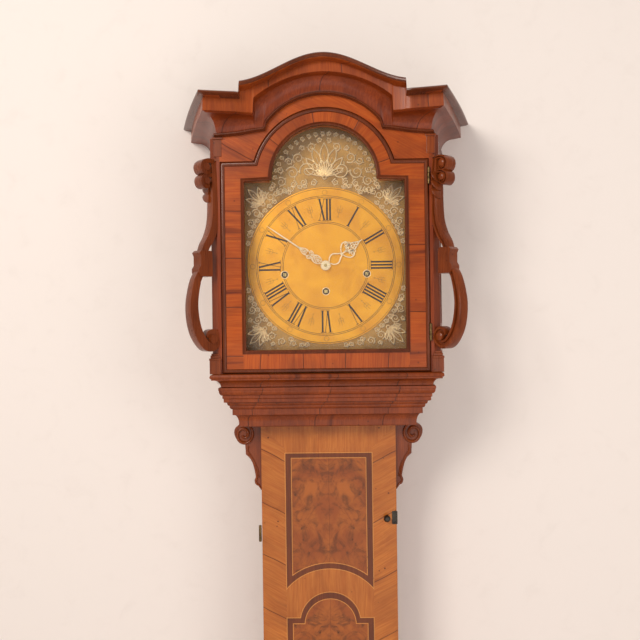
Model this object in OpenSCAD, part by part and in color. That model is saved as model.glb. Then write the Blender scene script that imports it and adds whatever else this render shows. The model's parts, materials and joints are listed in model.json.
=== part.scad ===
/* [Overall] */
// Depth from the wall to the front of the cornice lip
case_depth = 293; // [285:1:360]
// Height of the plinth at the floor
plinth_h = 85; // [60:1:110]
// Height of the base box above the plinth
base_h = 385; // [300:1:470]
// Height of the moulding that joins the base to the trunk
cap_h = 85; // [65:1:110]
// Height of the trunk between its two mouldings
trunk_h = 1046; // [1010:1:1260]
// Height of the throat moulding under the hood
throat_h = 72.3; // [60:0.1:90]
// Height of the hood's own base moulding
hood_base_h = 24.7; // [20:0.1:32]

/* [Trunk] */
// Width of the trunk and of its door
trunk_w = 247; // [236:1:300]
// Depth of the trunk from the wall to the face of the door
trunk_d = 150; // [148:1:176]
// Thickness of the case boards
board_t = 14; // [10:0.5:15]
// Thickness of the backboard
backboard_t = 12; // [8:0.5:14]
// Thickness of the trunk door
trunk_door_t = 22; // [16:0.5:22]
// Height of the rail below the trunk door
bottom_rail_h = 35; // [25:1:60]
// Overhang of the base box past the trunk on each side
base_over = 66.5; // [40:0.5:75]

/* [Hood] */
// Width of the hood door
hood_door_w = 364; // [350:1:400]
// Height of the hood door at its shoulders
shoulder_h = 371.7; // [368:0.1:400]
// Radius of the arch on top of the hood door
arch_r = 127; // [115:0.5:130]
// Width of the hood door's stiles and bottom rail
stile_w = 36.5; // [25:0.5:38]
// Radius of the arched sight opening
sight_r = 96; // [80:0.5:100]
// Thickness of the hood door's frame
hood_door_t = 16; // [12:0.5:18]
// Thickness of every glass pane
glass_t = 3; // [2:0.5:4]
// Depth of the hood from the wall to its front face
hood_d = 225; // [222:1:250]
// How far each hood side leans outwards from front to back
hood_flare = 25; // [10:1:40]
// Height of the plain frieze between the door and the cornice
frieze_h = 44.1; // [35:0.1:60]
// Height of the cornice over the shoulders
cornice_h = 65; // [55:0.5:80]
// Rise of the cornice from its shoulders to its crown
cornice_rise = 71.2; // [60:0.1:85]
// Size of the square section of the corner scrolls
scroll_t = 20; // [14:0.5:20]

/* [Dial] */
// Width of the square part of the dial plate
dial_w = 304; // [290:1:310]
// Radius of the dial plate's arch
dial_arch_r = 105; // [90:0.5:108]
// Radius of the round hour disc
disc_r = 141; // [125:0.5:145]
// Height of the dial centre above the bottom of the hood door
dial_centre_h = 191; // [185:0.5:200]
// Distance between the two outer winding arbors
winding_span = 148; // [140:0.5:156]
// Radius of the winding holes
winding_hole_r = 5.7; // [5:0.1:7]
// Hour that the hands show
show_hour = 1; // [0:1:11]
// Minute that the hands show
show_minute = 50.75; // [0:0.25:59.75]

/* [Movement] */
// Width of the movement plates
plate_w = 216; // [206:1:220]
// Space between the movement plates
plate_gap = 64; // [64:0.5:66]
// Radius of the three line barrels
barrel_r = 20; // [16:0.5:21]
// Radius of the barrel arbors
barrel_arbor_r = 4; // [3:0.1:4.2]
// Radius of the centre arbor
centre_arbor_r = 2.5; // [2:0.1:2.8]
// Radius of the smaller arbors
arbor_r = 1.5; // [1.2:0.1:1.7]
// Running clearance of every pivot in its hole, on the radius
running_gap = 0.05; // [0.02:0.01:0.09]
// Radius of the bell's rim
bell_r = 42; // [34:0.5:44]

/* [Drive] */
// Length of the pendulum from its pivot to the middle of the bob
pendulum_l = 1000; // [960:1:1010]
// Radius of the pendulum bob
bob_r = 55; // [45:0.5:56]
// Thickness of the pendulum bob
bob_t = 26; // [18:0.5:28]
// Radius of each driving weight
weight_r = 25; // [20:0.5:26]
// Height of each driving weight
weight_h = 200; // [150:1:240]
// Height of the bottoms of the run-down weights above the floor
weight_floor_z = 400; // [300:1:440]
// Radius of each weight's pulley
pulley_r = 16; // [13:0.5:17]
// Diameter of the gut line
line_d = 1.6; // [1.2:0.1:2]

/* [Hidden] */
$fn = 48;

// gaps between pieces
apart = 0.3;          // between two pieces that move past each other
door_gap = 1.2;       // round the edge of a door

// heights, stacked from the floor
z_base = plinth_h;
z_cap = z_base + base_h;
z_trunk = z_cap + cap_h;
z_throat = z_trunk + trunk_h;
z_seat = z_throat + throat_h;
z_hood = z_seat + apart;
z_door = z_seat + hood_base_h;
z_shoulder = z_door + shoulder_h;
z_arch = z_shoulder - 33.9;
z_cornice = z_shoulder + frieze_h;
z_lip = z_cornice + cornice_h;
z_dial = z_door + dial_centre_h;

z_hood_top = z_arch + arch_r - 4;

// planes from the wall to the front
y_wall = case_depth / 2;
y_inside = y_wall - backboard_t;
y_trunk = y_wall - trunk_d;
y_hood = y_wall - hood_d;
y_door_back = y_trunk + trunk_door_t;
y_frame = y_door_back + 0.5;

// half widths
trunk_x = trunk_w / 2;
inner_x = trunk_x - board_t;
passage_x = inner_x - 2.5;
base_x = trunk_x + base_over;
door_x = hood_door_w / 2;
post_x = door_x + door_gap;
well_x = post_x - 7;

// the mouldings stand out as far in front as at the sides
front_set = 3.8;
function front_y(x) = y_trunk - front_set - (x - trunk_x);

// ---- shared shapes ----
module along_x(x0, x1) { translate([x0, 0, 0]) rotate([90, 0, 90]) linear_extrude(x1 - x0) children(); }
module along_y(y0, y1) { translate([0, y1, 0]) rotate([90, 0, 0]) linear_extrude(y1 - y0) children(); }
module along_z(z0, z1) { translate([0, 0, z0]) linear_extrude(z1 - z0) children(); }
module block(x0, x1, y0, y1, z0, z1) { translate([x0, y0, z0]) cube([x1 - x0, y1 - y0, z1 - z0]); }
module rod_y(r, y0, y1, x = 0, z = 0) { translate([x, y1, z]) rotate([90, 0, 0]) cylinder(r = r, h = y1 - y0); }
module both_sides() { children(); mirror([1, 0, 0]) children(); }

// a solid whose front and two sides carry one moulding profile of [half width, height] points
module moulded_block(profile, y_back) {
    last = len(profile) - 1;
    intersection() {
        along_x(-profile_reach(profile), profile_reach(profile))
            polygon(concat([for (p = profile) [front_y(p[0]), p[1]]],
                           [[y_back, profile[last][1]], [y_back, profile[0][1]]]));
        along_y(front_y(profile_reach(profile)) - 1, y_back)
            polygon(concat(profile, [for (i = [last:-1:0]) [-profile[i][0], profile[i][1]]]));
    }
}
function profile_reach(profile) = max([for (p = profile) p[0]]) + 1;
// a quarter hollow or a quarter round between two profile points
function hollow(a, b, steps = 6) = [for (i = [0:steps]) let (t = 90 * i / steps)
    [a[0] + (b[0] - a[0]) * (1 - cos(t)), a[1] + (b[1] - a[1]) * sin(t)]];
function rounded(a, b, steps = 6) = [for (i = [0:steps]) let (t = 90 * i / steps)
    [a[0] + (b[0] - a[0]) * sin(t), a[1] + (b[1] - a[1]) * (1 - cos(t))]];

// ---- the case ----
hood_back_x = post_x + 18 + hood_flare;
fixing_hole_r = 4;
fixing_spacing = 120;
fixing_z = z_arch + 25;
throat_x = trunk_x + 67.7;
backboard_top = z_cornice - apart;

module backboard() color("saddlebrown") difference() {
    along_y(y_inside, y_wall) union() {
        translate([-base_x, 0]) square([2 * base_x, z_trunk - 12]);
        translate([-trunk_x, 0]) square([2 * trunk_x, z_seat]);
        translate([-throat_x, z_throat + 30]) square([2 * throat_x, z_seat - z_throat - 30]);
        translate([-hood_back_x, z_seat]) square([2 * hood_back_x, backboard_top - z_seat]);
        translate([-well_x + 1, z_seat]) square([2 * well_x - 2, z_hood_top - apart - z_seat]);
    }
    for (s = [-1, 1]) rod_y(fixing_hole_r, y_inside - 1, y_wall + 1, s * fixing_spacing / 2, fixing_z);
}

spindle_r = 3;
latch_x = inner_x - spindle_r - 1;
latch_z = z_throat - 173;
latch_tongue = 11;
mortise_x = latch_x + latch_tongue + 1;
module trunk_side() difference() {
    block(inner_x, trunk_x, y_frame, y_inside, z_trunk, z_throat);
    block(inner_x - 1, mortise_x, y_frame + 2, y_frame + 8, latch_z - latch_tongue - 1.5, latch_z + latch_tongue + 1.5);
}
module trunk_left_side() color("peru") mirror([1, 0, 0])
    block(inner_x, trunk_x, y_frame, y_inside, z_trunk, z_throat);
module trunk_right_side() color("peru") trunk_side();
module trunk_bottom_rail() color("peru")
    block(-trunk_x, trunk_x, y_trunk, y_frame, z_trunk, z_trunk + bottom_rail_h);

base_front_y = front_y(base_x);
module base_front() color("chocolate")
    block(-base_x, base_x, base_front_y, base_front_y + board_t, z_base, z_cap);
module base_side()
    block(base_x - board_t, base_x, base_front_y + board_t, y_inside, z_base, z_cap);
module base_left_side() color("chocolate") mirror([1, 0, 0]) base_side();
module base_right_side() color("chocolate") base_side();

plinth_x = base_x + 15;
plinth_wall = 15;
floor_t = 15;
plinth_round = 12;
module plinth() color("sienna") difference() {
    moulded_block(concat([[plinth_x, 0]],
                         rounded([plinth_x, z_base - plinth_round], [base_x + 1, z_base])), y_inside);
    block(-plinth_x + plinth_wall, plinth_x - plinth_wall, front_y(plinth_x) + plinth_wall, y_inside + 1,
          -1, z_base - floor_t);
}

cap_lip = 12;
module base_cap() color("sienna") difference() {
    moulded_block(concat([[base_x + 2, z_cap]],
                         [[base_x + cap_lip, z_cap + 12], [base_x + cap_lip, z_cap + 20]],
                         hollow([base_x, z_cap + 24], [trunk_x + 8, z_trunk - 10]),
                         [[trunk_x + 5, z_trunk - 6], [trunk_x + 5, z_trunk]]), y_inside);
    block(-passage_x, passage_x, y_frame, y_inside + 1, z_cap - 1, z_trunk + 1);
    block(-base_x + board_t, base_x - board_t, base_front_y + board_t, y_inside + 1, z_cap - 1, z_cap + 10);
}

// heights of the throat's steps as shares of its own height
module throat_moulding() color("sienna") difference() {
    moulded_block(concat(
        [[trunk_x + 33.5, z_throat], [trunk_x + 35.5, z_throat + 0.076 * throat_h]],
        hollow([trunk_x + 35.5, z_throat + 0.076 * throat_h], [trunk_x + 43.8, z_throat + 0.31 * throat_h]),
        [[trunk_x + 45.8, z_throat + 0.456 * throat_h]],
        rounded([trunk_x + 45.8, z_throat + 0.456 * throat_h], [trunk_x + 54.2, z_throat + 0.62 * throat_h]),
        [[trunk_x + 59.5, z_throat + 0.72 * throat_h], [trunk_x + 61.5, z_throat + 0.81 * throat_h],
         [trunk_x + 67, z_throat + 0.93 * throat_h], [throat_x, z_seat]]), y_inside);
    block(-passage_x, passage_x, y_frame, y_inside + 1, z_throat - 1, z_seat + 1);
}

// a bracket under each end of the throat: an outline that swells to a scroll at the top
corbel_h = 130;
corbel_out = 48.5;
corbel_t = 26;
function corbel_reach(t) = t < 0.55 ? 3 + 14 * sin(180 * t / 0.62) * t / 0.4
                         : 20 + (corbel_out - 20) * sin(90 * (t - 0.55) / 0.3);
module corbel() {
    steps = 18;
    top_share = 0.85;
    along_y(y_trunk + 4.5, y_trunk + 4.5 + corbel_t) union() {
        polygon(concat([[trunk_x, z_throat - corbel_h]],
            [for (i = [0:steps]) let (t = top_share * i / steps)
                [trunk_x + corbel_reach(t), z_throat - corbel_h * (1 - t)]],
            [[trunk_x, z_throat - corbel_h * (1 - top_share)]]));
        translate([trunk_x, z_throat - 20]) square([corbel_out - 12, 20]);
        translate([trunk_x + corbel_out - 17, z_throat - 17]) circle(r = 17);
    }
}
module corbel_left() color("maroon") mirror([1, 0, 0]) corbel();
module corbel_right() color("maroon") corbel();

// ---- the seat board that carries the movement ----
plate_t = 3;
y_dial = y_wall - 180;
dial_t = 2;
disc_t = 1.5;
y_front_plate = y_dial + 16.5;
y_gap0 = y_front_plate + plate_t;
y_gap1 = y_gap0 + plate_gap;
y_back_plate = y_gap1 + plate_t;
y_pendulum = y_back_plate + 47;
y_line = y_gap0 + 60;
seat_block_h = 16;
seat_t = 14;
seat_back = y_pendulum - 14;
z_seat_low = z_seat + seat_block_h;
z_plates = z_seat_low + seat_t;

// drives: [barrel x, barrel z, side on which the line leaves]
barrel_drop = 15.5;
centre_drop = 46.4;
drives = [[-winding_span / 2, z_dial - barrel_drop, 1], [0, z_dial - centre_drop, 1],
          [winding_span / 2, z_dial - barrel_drop, -1]];
function line_x(d) = d[0] + d[2] * (barrel_r + line_d / 2);
function weight_x(d) = line_x(d) - d[2] * (pulley_r + line_d / 2);

module seat_board() color("burlywood") {
    difference() {
        block(-passage_x, passage_x, y_dial + 4, seat_back, z_seat_low, z_plates);
        for (d = drives) translate([line_x(d), y_line, z_seat_low - 1]) cylinder(r = 5, h = seat_t + 2);
    }
    both_sides() block(passage_x - 12, passage_x, y_dial + 30, seat_back, z_seat, z_seat_low);
}

// ---- hood ----
runner_x = passage_x + 5;
module hood_base() color("chocolate") difference() {
    moulded_block(concat([[trunk_x + 61, z_hood]],
        hollow([trunk_x + 62, z_hood + 1], [trunk_x + 77.7, z_door - 10]),
        rounded([trunk_x + 81.2, z_door - 7], [trunk_x + 76, z_door])), y_inside - apart);
    block(-runner_x, runner_x, y_hood + 22, y_inside + 1, z_hood - 1, z_door + 1);
}

// plan of the right-hand side with its canted corner post
cant = 12;
module hood_side_plan() polygon([
    [post_x, y_hood], [post_x + 6, y_hood], [post_x + 6 + cant, y_hood + cant],
    [post_x + 18 + hood_flare, y_inside - apart], [post_x + 4 + hood_flare, y_inside - apart],
    [post_x + 5, y_hood + 24], [post_x, y_hood + 19]]);
window_y0 = y_hood + 42;
window_y1 = y_inside - 40;
window_z0 = z_door + 85;
window_z1 = window_z0 + 218;
module hood_side() difference() {
    along_z(z_door, z_cornice) hood_side_plan();
    block(post_x - 1, hood_back_x + 1, window_y0, window_y1, window_z0, window_z1);
}
// a pane that lies in the middle of the leaning board
lean = hood_flare / (y_inside - y_hood - 24);
function board_mid(y) = post_x + 11 + (y - y_hood - 24) * lean;
module side_glass() along_z(window_z0, window_z1) polygon([
    [board_mid(window_y0) - glass_t / 2, window_y0], [board_mid(window_y0) + glass_t / 2, window_y0],
    [board_mid(window_y1) + glass_t / 2, window_y1], [board_mid(window_y1) - glass_t / 2, window_y1]]);
module hood_left_side() color("chocolate") mirror([1, 0, 0]) hood_side();
module hood_right_side() color("chocolate") hood_side();
module hood_left_glass() color("lightblue", 0.4) mirror([1, 0, 0]) side_glass();
module hood_right_glass() color("lightblue", 0.4) side_glass();

// the door's outline, used by the door and by the opening cut for it
module door_outline(grow) {
    translate([-door_x - grow, z_door]) square([2 * (door_x + grow), z_shoulder + grow - z_door]);
    translate([0, z_arch]) circle(r = arch_r + grow, $fn = 96);
}

// a moulding member over the arch: flat shoulders, and a round arch through its springing and its crown
module arch_member(spring_x, low, crown) {
    rise = crown - low;
    r = (spring_x * spring_x + rise * rise) / (2 * rise);
    translate([-hood_back_x - 90, low - 200]) square([2 * hood_back_x + 180, 200]);
    intersection() {
        translate([0, crown - r]) circle(r = r, $fn = 96);
        translate([-spring_x, low - 1]) square([2 * spring_x, rise + 2]);
    }
}
// the ogee top over the shoulders: a step and then a wave up to the crown
step_x = 142;
wave_x = 165;
step_rise = 16.2;
module wave_member(top, drop) {
    wave = cornice_rise - step_rise;
    translate([-hood_back_x - 90, top - 200]) square([2 * hood_back_x + 180, 200]);
    polygon(concat([[-step_x, top - 1]],
        [for (i = [-24:24]) let (x = step_x * i / 24)
            [x, top + (step_rise + wave * (1 + cos(180 * x / wave_x)) / 2) - drop * (1 - abs(i) / 24)]],
        [[step_x, top - 1]]));
}

bead_low_crown = z_cornice + 68.9;
frieze_t = 18;
module frieze() color("chocolate") along_y(y_hood, y_hood + frieze_t) difference() {
    intersection() {
        arch_member(108, z_cornice, bead_low_crown);
        translate([-post_x, z_shoulder]) square([2 * post_x, 400]);
    }
    door_outline(door_gap);
}

// plan of a cornice member: a front that sweeps forward to its corners and flared returns
function member_plan(xf, xb, y_corner, y_centre) = concat(
    [for (i = [-10:10]) let (s = i / 10) [xf * s, y_centre + (y_corner - y_centre) * pow(abs(s), 2.4)]],
    [[xb, y_wall], [-xb, y_wall]]);
module member(z0, z1, plan, y_front) intersection() {
    along_z(z0, z1) polygon(plan);
    along_y(y_front - 1, y_wall + 1) children();
}
y_lip = -y_wall;
out_lip = hood_back_x + 59;
fascia_h = 25.4;
lip_h = 7.6;
cove_h = 25.6;
module cornice() color("firebrick") difference() {
    union() {
        member(z_cornice, z_lip + cornice_rise, member_plan(post_x + 9, hood_back_x + 10, y_hood - 11,
               y_hood - 11), y_lip) arch_member(108, z_cornice + 6.4, bead_low_crown + 4.3);
        member(z_cornice + 6.4, z_lip + cornice_rise, member_plan(post_x + 13, hood_back_x + 18,
               y_hood - 18, y_hood - 14), y_lip) arch_member(116, z_lip - lip_h - fascia_h, z_lip + 37);
        difference() {
            member(z_lip - lip_h - fascia_h, z_lip + cornice_rise, member_plan(post_x + 23,
                   hood_back_x + 45, y_hood - 46, y_hood - 24), y_lip) wave_member(z_lip - lip_h, 0);
            along_y(y_lip - 1, y_hood) arch_member(118, z_lip - lip_h - fascia_h, z_lip + 37);
        }
        difference() {
            member(z_lip - lip_h, z_lip + cornice_rise, member_plan(post_x + 27, out_lip, y_lip,
                   y_hood - 42), y_lip) wave_member(z_lip, 0);
            along_y(y_lip - 1, y_hood) wave_member(z_lip - lip_h, 4);
        }
    }
    block(-well_x, well_x, y_hood + frieze_t, y_wall + 1, z_cornice - 1, z_lip + cornice_rise + 1);
    along_y(y_lip - 1, y_hood + frieze_t + 1) difference() {
        arch_member(108, z_cornice, bead_low_crown);
        translate([-500, z_cornice - 201]) square([1000, 201]);
    }
}
module hood_top() color("burlywood")
    block(-well_x, well_x, y_hood + frieze_t, y_inside - apart, z_hood_top, z_hood_top + 8);

// an open scroll on each canted corner, on a block and under a capital
base_block_h = 36;
capital_h = 46;
scroll_h = z_cornice - z_door;
scroll_roll_r = 15;
volute_r = 12;
bulge_z = z_door + 117;
// outward reach of the scroll's outer edge and the hollow behind it, at a height above the base block
module scroll_outline() {
    low = z_door + base_block_h;
    top = z_cornice - capital_h;
    difference() {
        union() {
            translate([0, top - 152]) square([22, 152]);
            for (z = [top - 14, top - 34]) translate([30, z]) circle(r = scroll_roll_r);
            translate([0, top - 34]) square([30, 34]);
            translate([0, top - 193]) square([61, 38]);
            translate([0, bulge_z]) circle(r = 75, $fn = 96);
        }
        translate([-4, bulge_z]) circle(r = 54, $fn = 96);
        translate([-200, z_door - 100]) square([200, 900]);
        translate([-1, z_door - 100]) square([90, 100 + base_block_h - apart]);
    }
    translate([volute_r, low + volute_r + 8]) circle(r = volute_r);
    translate([0, low]) square([2 * volute_r, 12]);
    translate([volute_r, low + 6]) square([34, 12]);
}
module scroll() translate([post_x + 6 + cant / 2, y_hood + cant / 2, 0]) rotate([0, 0, -45]) {
    along_y(-scroll_t / 2, scroll_t / 2) scroll_outline();
    block(0, 26, -scroll_t / 2, scroll_t / 2, z_door, z_door + base_block_h - 8);
    block(0, 22, -scroll_t / 2, scroll_t / 2, z_door + base_block_h - 8, z_door + base_block_h);
    block(0, 22, -scroll_t / 2, scroll_t / 2, z_cornice - capital_h, z_cornice);
}
module scroll_left() color("maroon") mirror([1, 0, 0]) scroll();
module scroll_right() color("maroon") scroll();

// ---- hinges: a fixed half with two knuckles and the pin, and a door half with the knuckle between ----
hinge_knuckle = 10;
module hinge_fixed(x, y, z, knuckle_r, pin_r) translate([x, y, 0]) {
    for (s = [-1, 1]) translate([0, 0, z + s * hinge_knuckle - hinge_knuckle / 2 + 0.2])
        cylinder(r = knuckle_r, h = hinge_knuckle - 0.4);
    translate([0, 0, z - 1.5 * hinge_knuckle]) cylinder(r = pin_r, h = 3 * hinge_knuckle);
}
module hinge_moving(x, y, z, knuckle_r, pin_r) translate([x, y, z - hinge_knuckle / 2 + 0.2])
    difference() {
        cylinder(r = knuckle_r, h = hinge_knuckle - 0.4);
        translate([0, 0, -1]) cylinder(r = pin_r + running_gap, h = hinge_knuckle + 2);
    }

hood_hinges = [z_door + 70, z_shoulder - 29];
hood_pin_x = door_x + 0.6;
hood_pin_y = y_hood - 2.6;
hood_knuckle_r = 2.6;
hood_pin_r = 1.2;
leaf_t = 0.8;
module hood_hinge_pins() color("goldenrod") for (z = hood_hinges) {
    hinge_fixed(hood_pin_x, hood_pin_y, z, hood_knuckle_r, hood_pin_r);
    for (s = [-1, 1]) block(hood_pin_x + 0.8, post_x + 4.5, y_hood - leaf_t, y_hood,
                            z + s * hinge_knuckle - 4.8, z + s * hinge_knuckle + 4.8);
}
module hood_door_hinges() color("goldenrod") for (z = hood_hinges) difference() {
    union() {
        hinge_moving(hood_pin_x, hood_pin_y, z, hood_knuckle_r, hood_pin_r);
        block(door_x - 12, hood_pin_x, y_hood - leaf_t, y_hood, z - 4.8, z + 4.8);
    }
    translate([hood_pin_x, hood_pin_y, z - 20]) cylinder(r = hood_pin_r + running_gap, h = 40);
}

// ---- hood door ----
sight_x = door_x - stile_w;
z_sight = z_door + stile_w;
y_hood_door_back = y_hood + hood_door_t;
module door_stile() block(sight_x, door_x, y_hood, y_hood_door_back, z_door + door_gap, z_arch);
module hood_door_left_stile() color("chocolate") mirror([1, 0, 0]) door_stile();
module hood_door_right_stile() color("chocolate") door_stile();
module hood_door_bottom_rail() color("chocolate")
    block(-sight_x, sight_x, y_hood, y_hood_door_back, z_door + door_gap, z_sight);
module hood_door_arch_rail() color("chocolate") along_y(y_hood, y_hood_door_back) difference() {
    intersection() {
        door_outline(0);
        translate([-door_x, z_arch]) square([2 * door_x, 300]);
    }
    translate([0, z_arch]) circle(r = sight_r, $fn = 96);
}
pane_lap = 6;
module hood_door_glass() color("lightblue", 0.3) along_y(y_hood_door_back, y_hood_door_back + glass_t) {
    translate([-sight_x - pane_lap, z_sight - pane_lap])
        square([2 * (sight_x + pane_lap), z_arch + pane_lap - z_sight + pane_lap]);
    translate([0, z_arch]) circle(r = sight_r + pane_lap, $fn = 96);
}

// ---- trunk door ----
trunk_hinges = [z_trunk + 145, z_throat - 200];
trunk_pin_x = -trunk_x - 3.5;
trunk_pin_y = y_trunk - 1;
trunk_knuckle_r = 3.2;
trunk_pin_r = 1.6;
trunk_leaf_t = 1.2;
z_trunk_door = z_trunk + bottom_rail_h + door_gap;
module trunk_door() color("peru") difference() {
    block(-trunk_x, trunk_x, y_trunk, y_door_back, z_trunk_door, z_throat - door_gap);
    rod_y(spindle_r + running_gap, y_trunk - 1, y_door_back + 1, latch_x, latch_z);
}
module trunk_hinge_pins() color("goldenrod") for (z = trunk_hinges) {
    hinge_fixed(trunk_pin_x, trunk_pin_y, z, trunk_knuckle_r, trunk_pin_r);
    for (s = [-1, 1]) block(-trunk_x - trunk_leaf_t - 1.3, -trunk_x - 1.3, trunk_pin_y + 2, y_frame + 16,
                            z + s * hinge_knuckle - 4.8, z + s * hinge_knuckle + 4.8);
    block(-trunk_x - 1.3, -trunk_x, y_frame + 4, y_frame + 16, z - 14, z + 14);
}
module trunk_door_hinges() color("goldenrod") for (z = trunk_hinges) difference() {
    union() {
        hinge_moving(trunk_pin_x, trunk_pin_y, z, trunk_knuckle_r, trunk_pin_r);
        block(trunk_pin_x, -trunk_x + 10, y_trunk - trunk_leaf_t, y_trunk, z - 4.8, z + 4.8);
    }
    translate([trunk_pin_x, trunk_pin_y, z - 20]) cylinder(r = trunk_pin_r + running_gap, h = 40);
}
knob_r = 6;
module trunk_latch() color("dimgray") {
    rod_y(spindle_r, y_trunk - 8, y_frame + 3.5, latch_x, latch_z);
    rod_y(knob_r, y_trunk - 16, y_trunk - 8, latch_x, latch_z);
    block(latch_x - 3.2, latch_x + latch_tongue, y_frame + 3.5, y_frame + 6.5, latch_z - 3.2, latch_z + 3.2);
}

// ---- dial ----
z_dial_low = z_dial - 162;
z_dial_top = z_dial_low + 314;
module dial_shape() {
    translate([-dial_w / 2, z_dial_low]) square([dial_w, z_dial_top - z_dial_low]);
    translate([0, z_dial_top - 5]) circle(r = dial_arch_r, $fn = 96);
}
hour_pipe_r = 5;
module dial_holes(y0, y1) {
    rod_y(hour_pipe_r + 1.5, y0, y1, 0, z_dial);
    for (d = drives) rod_y(winding_hole_r, y0, y1, d[0], d[1]);
}
foot_x = 92;
module dial_plate() color("darkkhaki") difference() {
    union() {
        along_y(y_dial, y_dial + dial_t) dial_shape();
        for (x = [-foot_x, foot_x], z = [z_plates + 40, z_dial + 80]) rod_y(3, y_dial + dial_t, y_front_plate, x, z);
    }
    dial_holes(y_dial - 1, y_dial + dial_t + 1);
}
module dial_disc() color("gold") difference() {
    rod_y(disc_r, y_dial - disc_t, y_dial, 0, z_dial);
    dial_holes(y_dial - disc_t - 1, y_dial + 1);
}
// corner ornaments follow the disc; the arch ornament is a fan
spandrel_t = 3;
spandrel_leg = 72;
module spandrels() color("khaki") along_y(y_dial - spandrel_t, y_dial) {
    difference() {
        for (x = [-1, 1], z = [-1, 1]) translate([x * (dial_w / 2 - 6 - spandrel_leg / 2),
            z_dial + z * (dial_w / 2 - 3 - spandrel_leg / 2)]) square(spandrel_leg, center = true);
        translate([0, z_dial]) circle(r = disc_r + 4, $fn = 96);
    }
    difference() {
        translate([0, z_dial_top - 5]) circle(r = dial_arch_r - 12, $fn = 96);
        translate([0, z_dial]) circle(r = disc_r + 18, $fn = 96);
    }
}

// ---- wheels: toothed outlines whose teeth and gaps meet on the line between two arbors ----
tip_share = 0.65;
root_share = 0.9;
function teeth(n, m, turn) = [for (i = [0:n - 1], k = [0:3])
    let (tip = k == 1 || k == 2, half = 360 / n * (tip ? 0.12 : 0.3),
         r = m * (n / 2 + (tip ? tip_share : -root_share)), a = turn + 360 / n * i + (k < 2 ? -half : half))
    [r * cos(a), r * sin(a)]];
module gear(n, m, y0, y1, turn) along_y(y0, y1) polygon(teeth(n, m, turn));
module at(place) translate([place[0], 0, place[1]]) children();

leaves = 8;
great_n = 96;
centre_n = 60;
third_n = 64;
escape_n = 30;
third_m = 0.8;
centre_m = 0.9;
great_m = 2 * centre_drop / (great_n + leaves);
centre = [0, z_dial];
escape_rise = 48;
to_third = centre_m * (centre_n + leaves) / 2;
to_escape = third_m * (third_n + leaves) / 2;
third_dz = (to_third * to_third - to_escape * to_escape + escape_rise * escape_rise) / (2 * escape_rise);
third = [sqrt(to_third * to_third - third_dz * third_dz), z_dial + third_dz];
escape = [0, z_dial + escape_rise];
pallet = [0, z_dial + escape_rise + 36];
function bearing(a, b) = atan2(b[1] - a[1], b[0] - a[0]);

cannon_n = 30;
minute_n = 60;
minute_leaves = 10;
hour_n = 60;
motion_m = 0.8;
to_minute = motion_m * (minute_leaves + hour_n) / 2;
cannon_m = 2 * to_minute / (cannon_n + minute_n);
minute_turn = 200;
minute_place = [to_minute * cos(minute_turn), z_dial + to_minute * sin(minute_turn)];
hammer_place = [66, z_dial + 71];
hammer_arbor_r = 2;

pillar_x = plate_w / 2 - 12;
plate_h = pallet[1] + 17 - z_plates;
module plate_shape() translate([-plate_w / 2, z_plates]) square([plate_w, plate_h]);
module pivot_holes(y0, y1) {
    rod_y(centre_arbor_r + running_gap, y0, y1, centre[0], centre[1]);
    for (p = [third, escape, pallet]) rod_y(arbor_r + running_gap, y0, y1, p[0], p[1]);
    for (d = drives) rod_y(barrel_arbor_r + running_gap, y0, y1, d[0], d[1]);
    rod_y(hammer_arbor_r + running_gap, y0, y1, hammer_place[0], hammer_place[1]);
}
module front_plate() color("goldenrod") {
    difference() {
        along_y(y_front_plate, y_gap0) plate_shape();
        pivot_holes(y_front_plate - 1, y_gap0 + 1);
    }
    rod_y(arbor_r, y_front_plate - 13, y_front_plate, minute_place[0], minute_place[1]);
}
cock_w = 20;
module back_plate() color("goldenrod") {
    difference() {
        along_y(y_gap1, y_back_plate) plate_shape();
        pivot_holes(y_gap1 - 1, y_back_plate + 1);
    }
    for (x = [-pillar_x, pillar_x], z = [z_plates + 12, z_plates + plate_h - 12]) rod_y(5, y_gap0, y_gap1, x, z);
    difference() {
        union() {
            block(-cock_w / 2, cock_w / 2, y_back_plate, y_pendulum + 9, pallet[1] + 6, pallet[1] + 15);
            for (y = [y_pendulum - 9, y_pendulum + 5]) block(-5, 5, y, y + 4, pallet[1] - 6, pallet[1] + 7);
        }
        rod_y(arbor_r + running_gap, y_pendulum - 10, y_pendulum + 10, pallet[0], pallet[1]);
    }
}

bell_y = y_gap0 + 30;
bell_h = 34;
bell_wall = 1.6;
z_bell = z_plates + plate_h + 14;
module bell() color("gold") {
    translate([0, bell_y, z_bell]) rotate_extrude() difference() {
        intersection() {
            scale([1, 1]) translate([0, bell_h - bell_r]) circle(r = bell_r, $fn = 96);
            square([bell_r + 1, bell_h]);
        }
        translate([0, bell_h - bell_r]) circle(r = bell_r - bell_wall, $fn = 96);
    }
    translate([0, bell_y, z_bell + bell_h - 1]) cylinder(r = 4, h = 5);
    block(-5, 5, bell_y - 5, y_back_plate, z_bell + bell_h + 3, z_bell + bell_h + 6);
    block(-5, 5, y_gap1, y_back_plate, z_plates + plate_h, z_bell + bell_h + 6);
}
bell_rim = sqrt(bell_r * bell_r - (bell_r - bell_h) * (bell_r - bell_h));
hammer_head = [bell_rim + 12, z_bell + 4];
module hammer() color("silver") {
    rod_y(hammer_arbor_r, y_gap0 - 2, y_gap1 + 2, hammer_place[0], hammer_place[1]);
    rod_y(4, bell_y - 3, bell_y + 3, hammer_place[0], hammer_place[1]);
    block(hammer_place[0] - 1.5, hammer_place[0] + 1.5, bell_y - 1.5, bell_y + 1.5, hammer_place[1], hammer_head[1]);
    translate([hammer_head[0], bell_y, hammer_head[1]]) sphere(r = 6);
    block(hammer_head[0], hammer_place[0] + 1.5, bell_y - 1.5, bell_y + 1.5, hammer_head[1] - 1.5, hammer_head[1] + 1.5);
}

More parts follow.
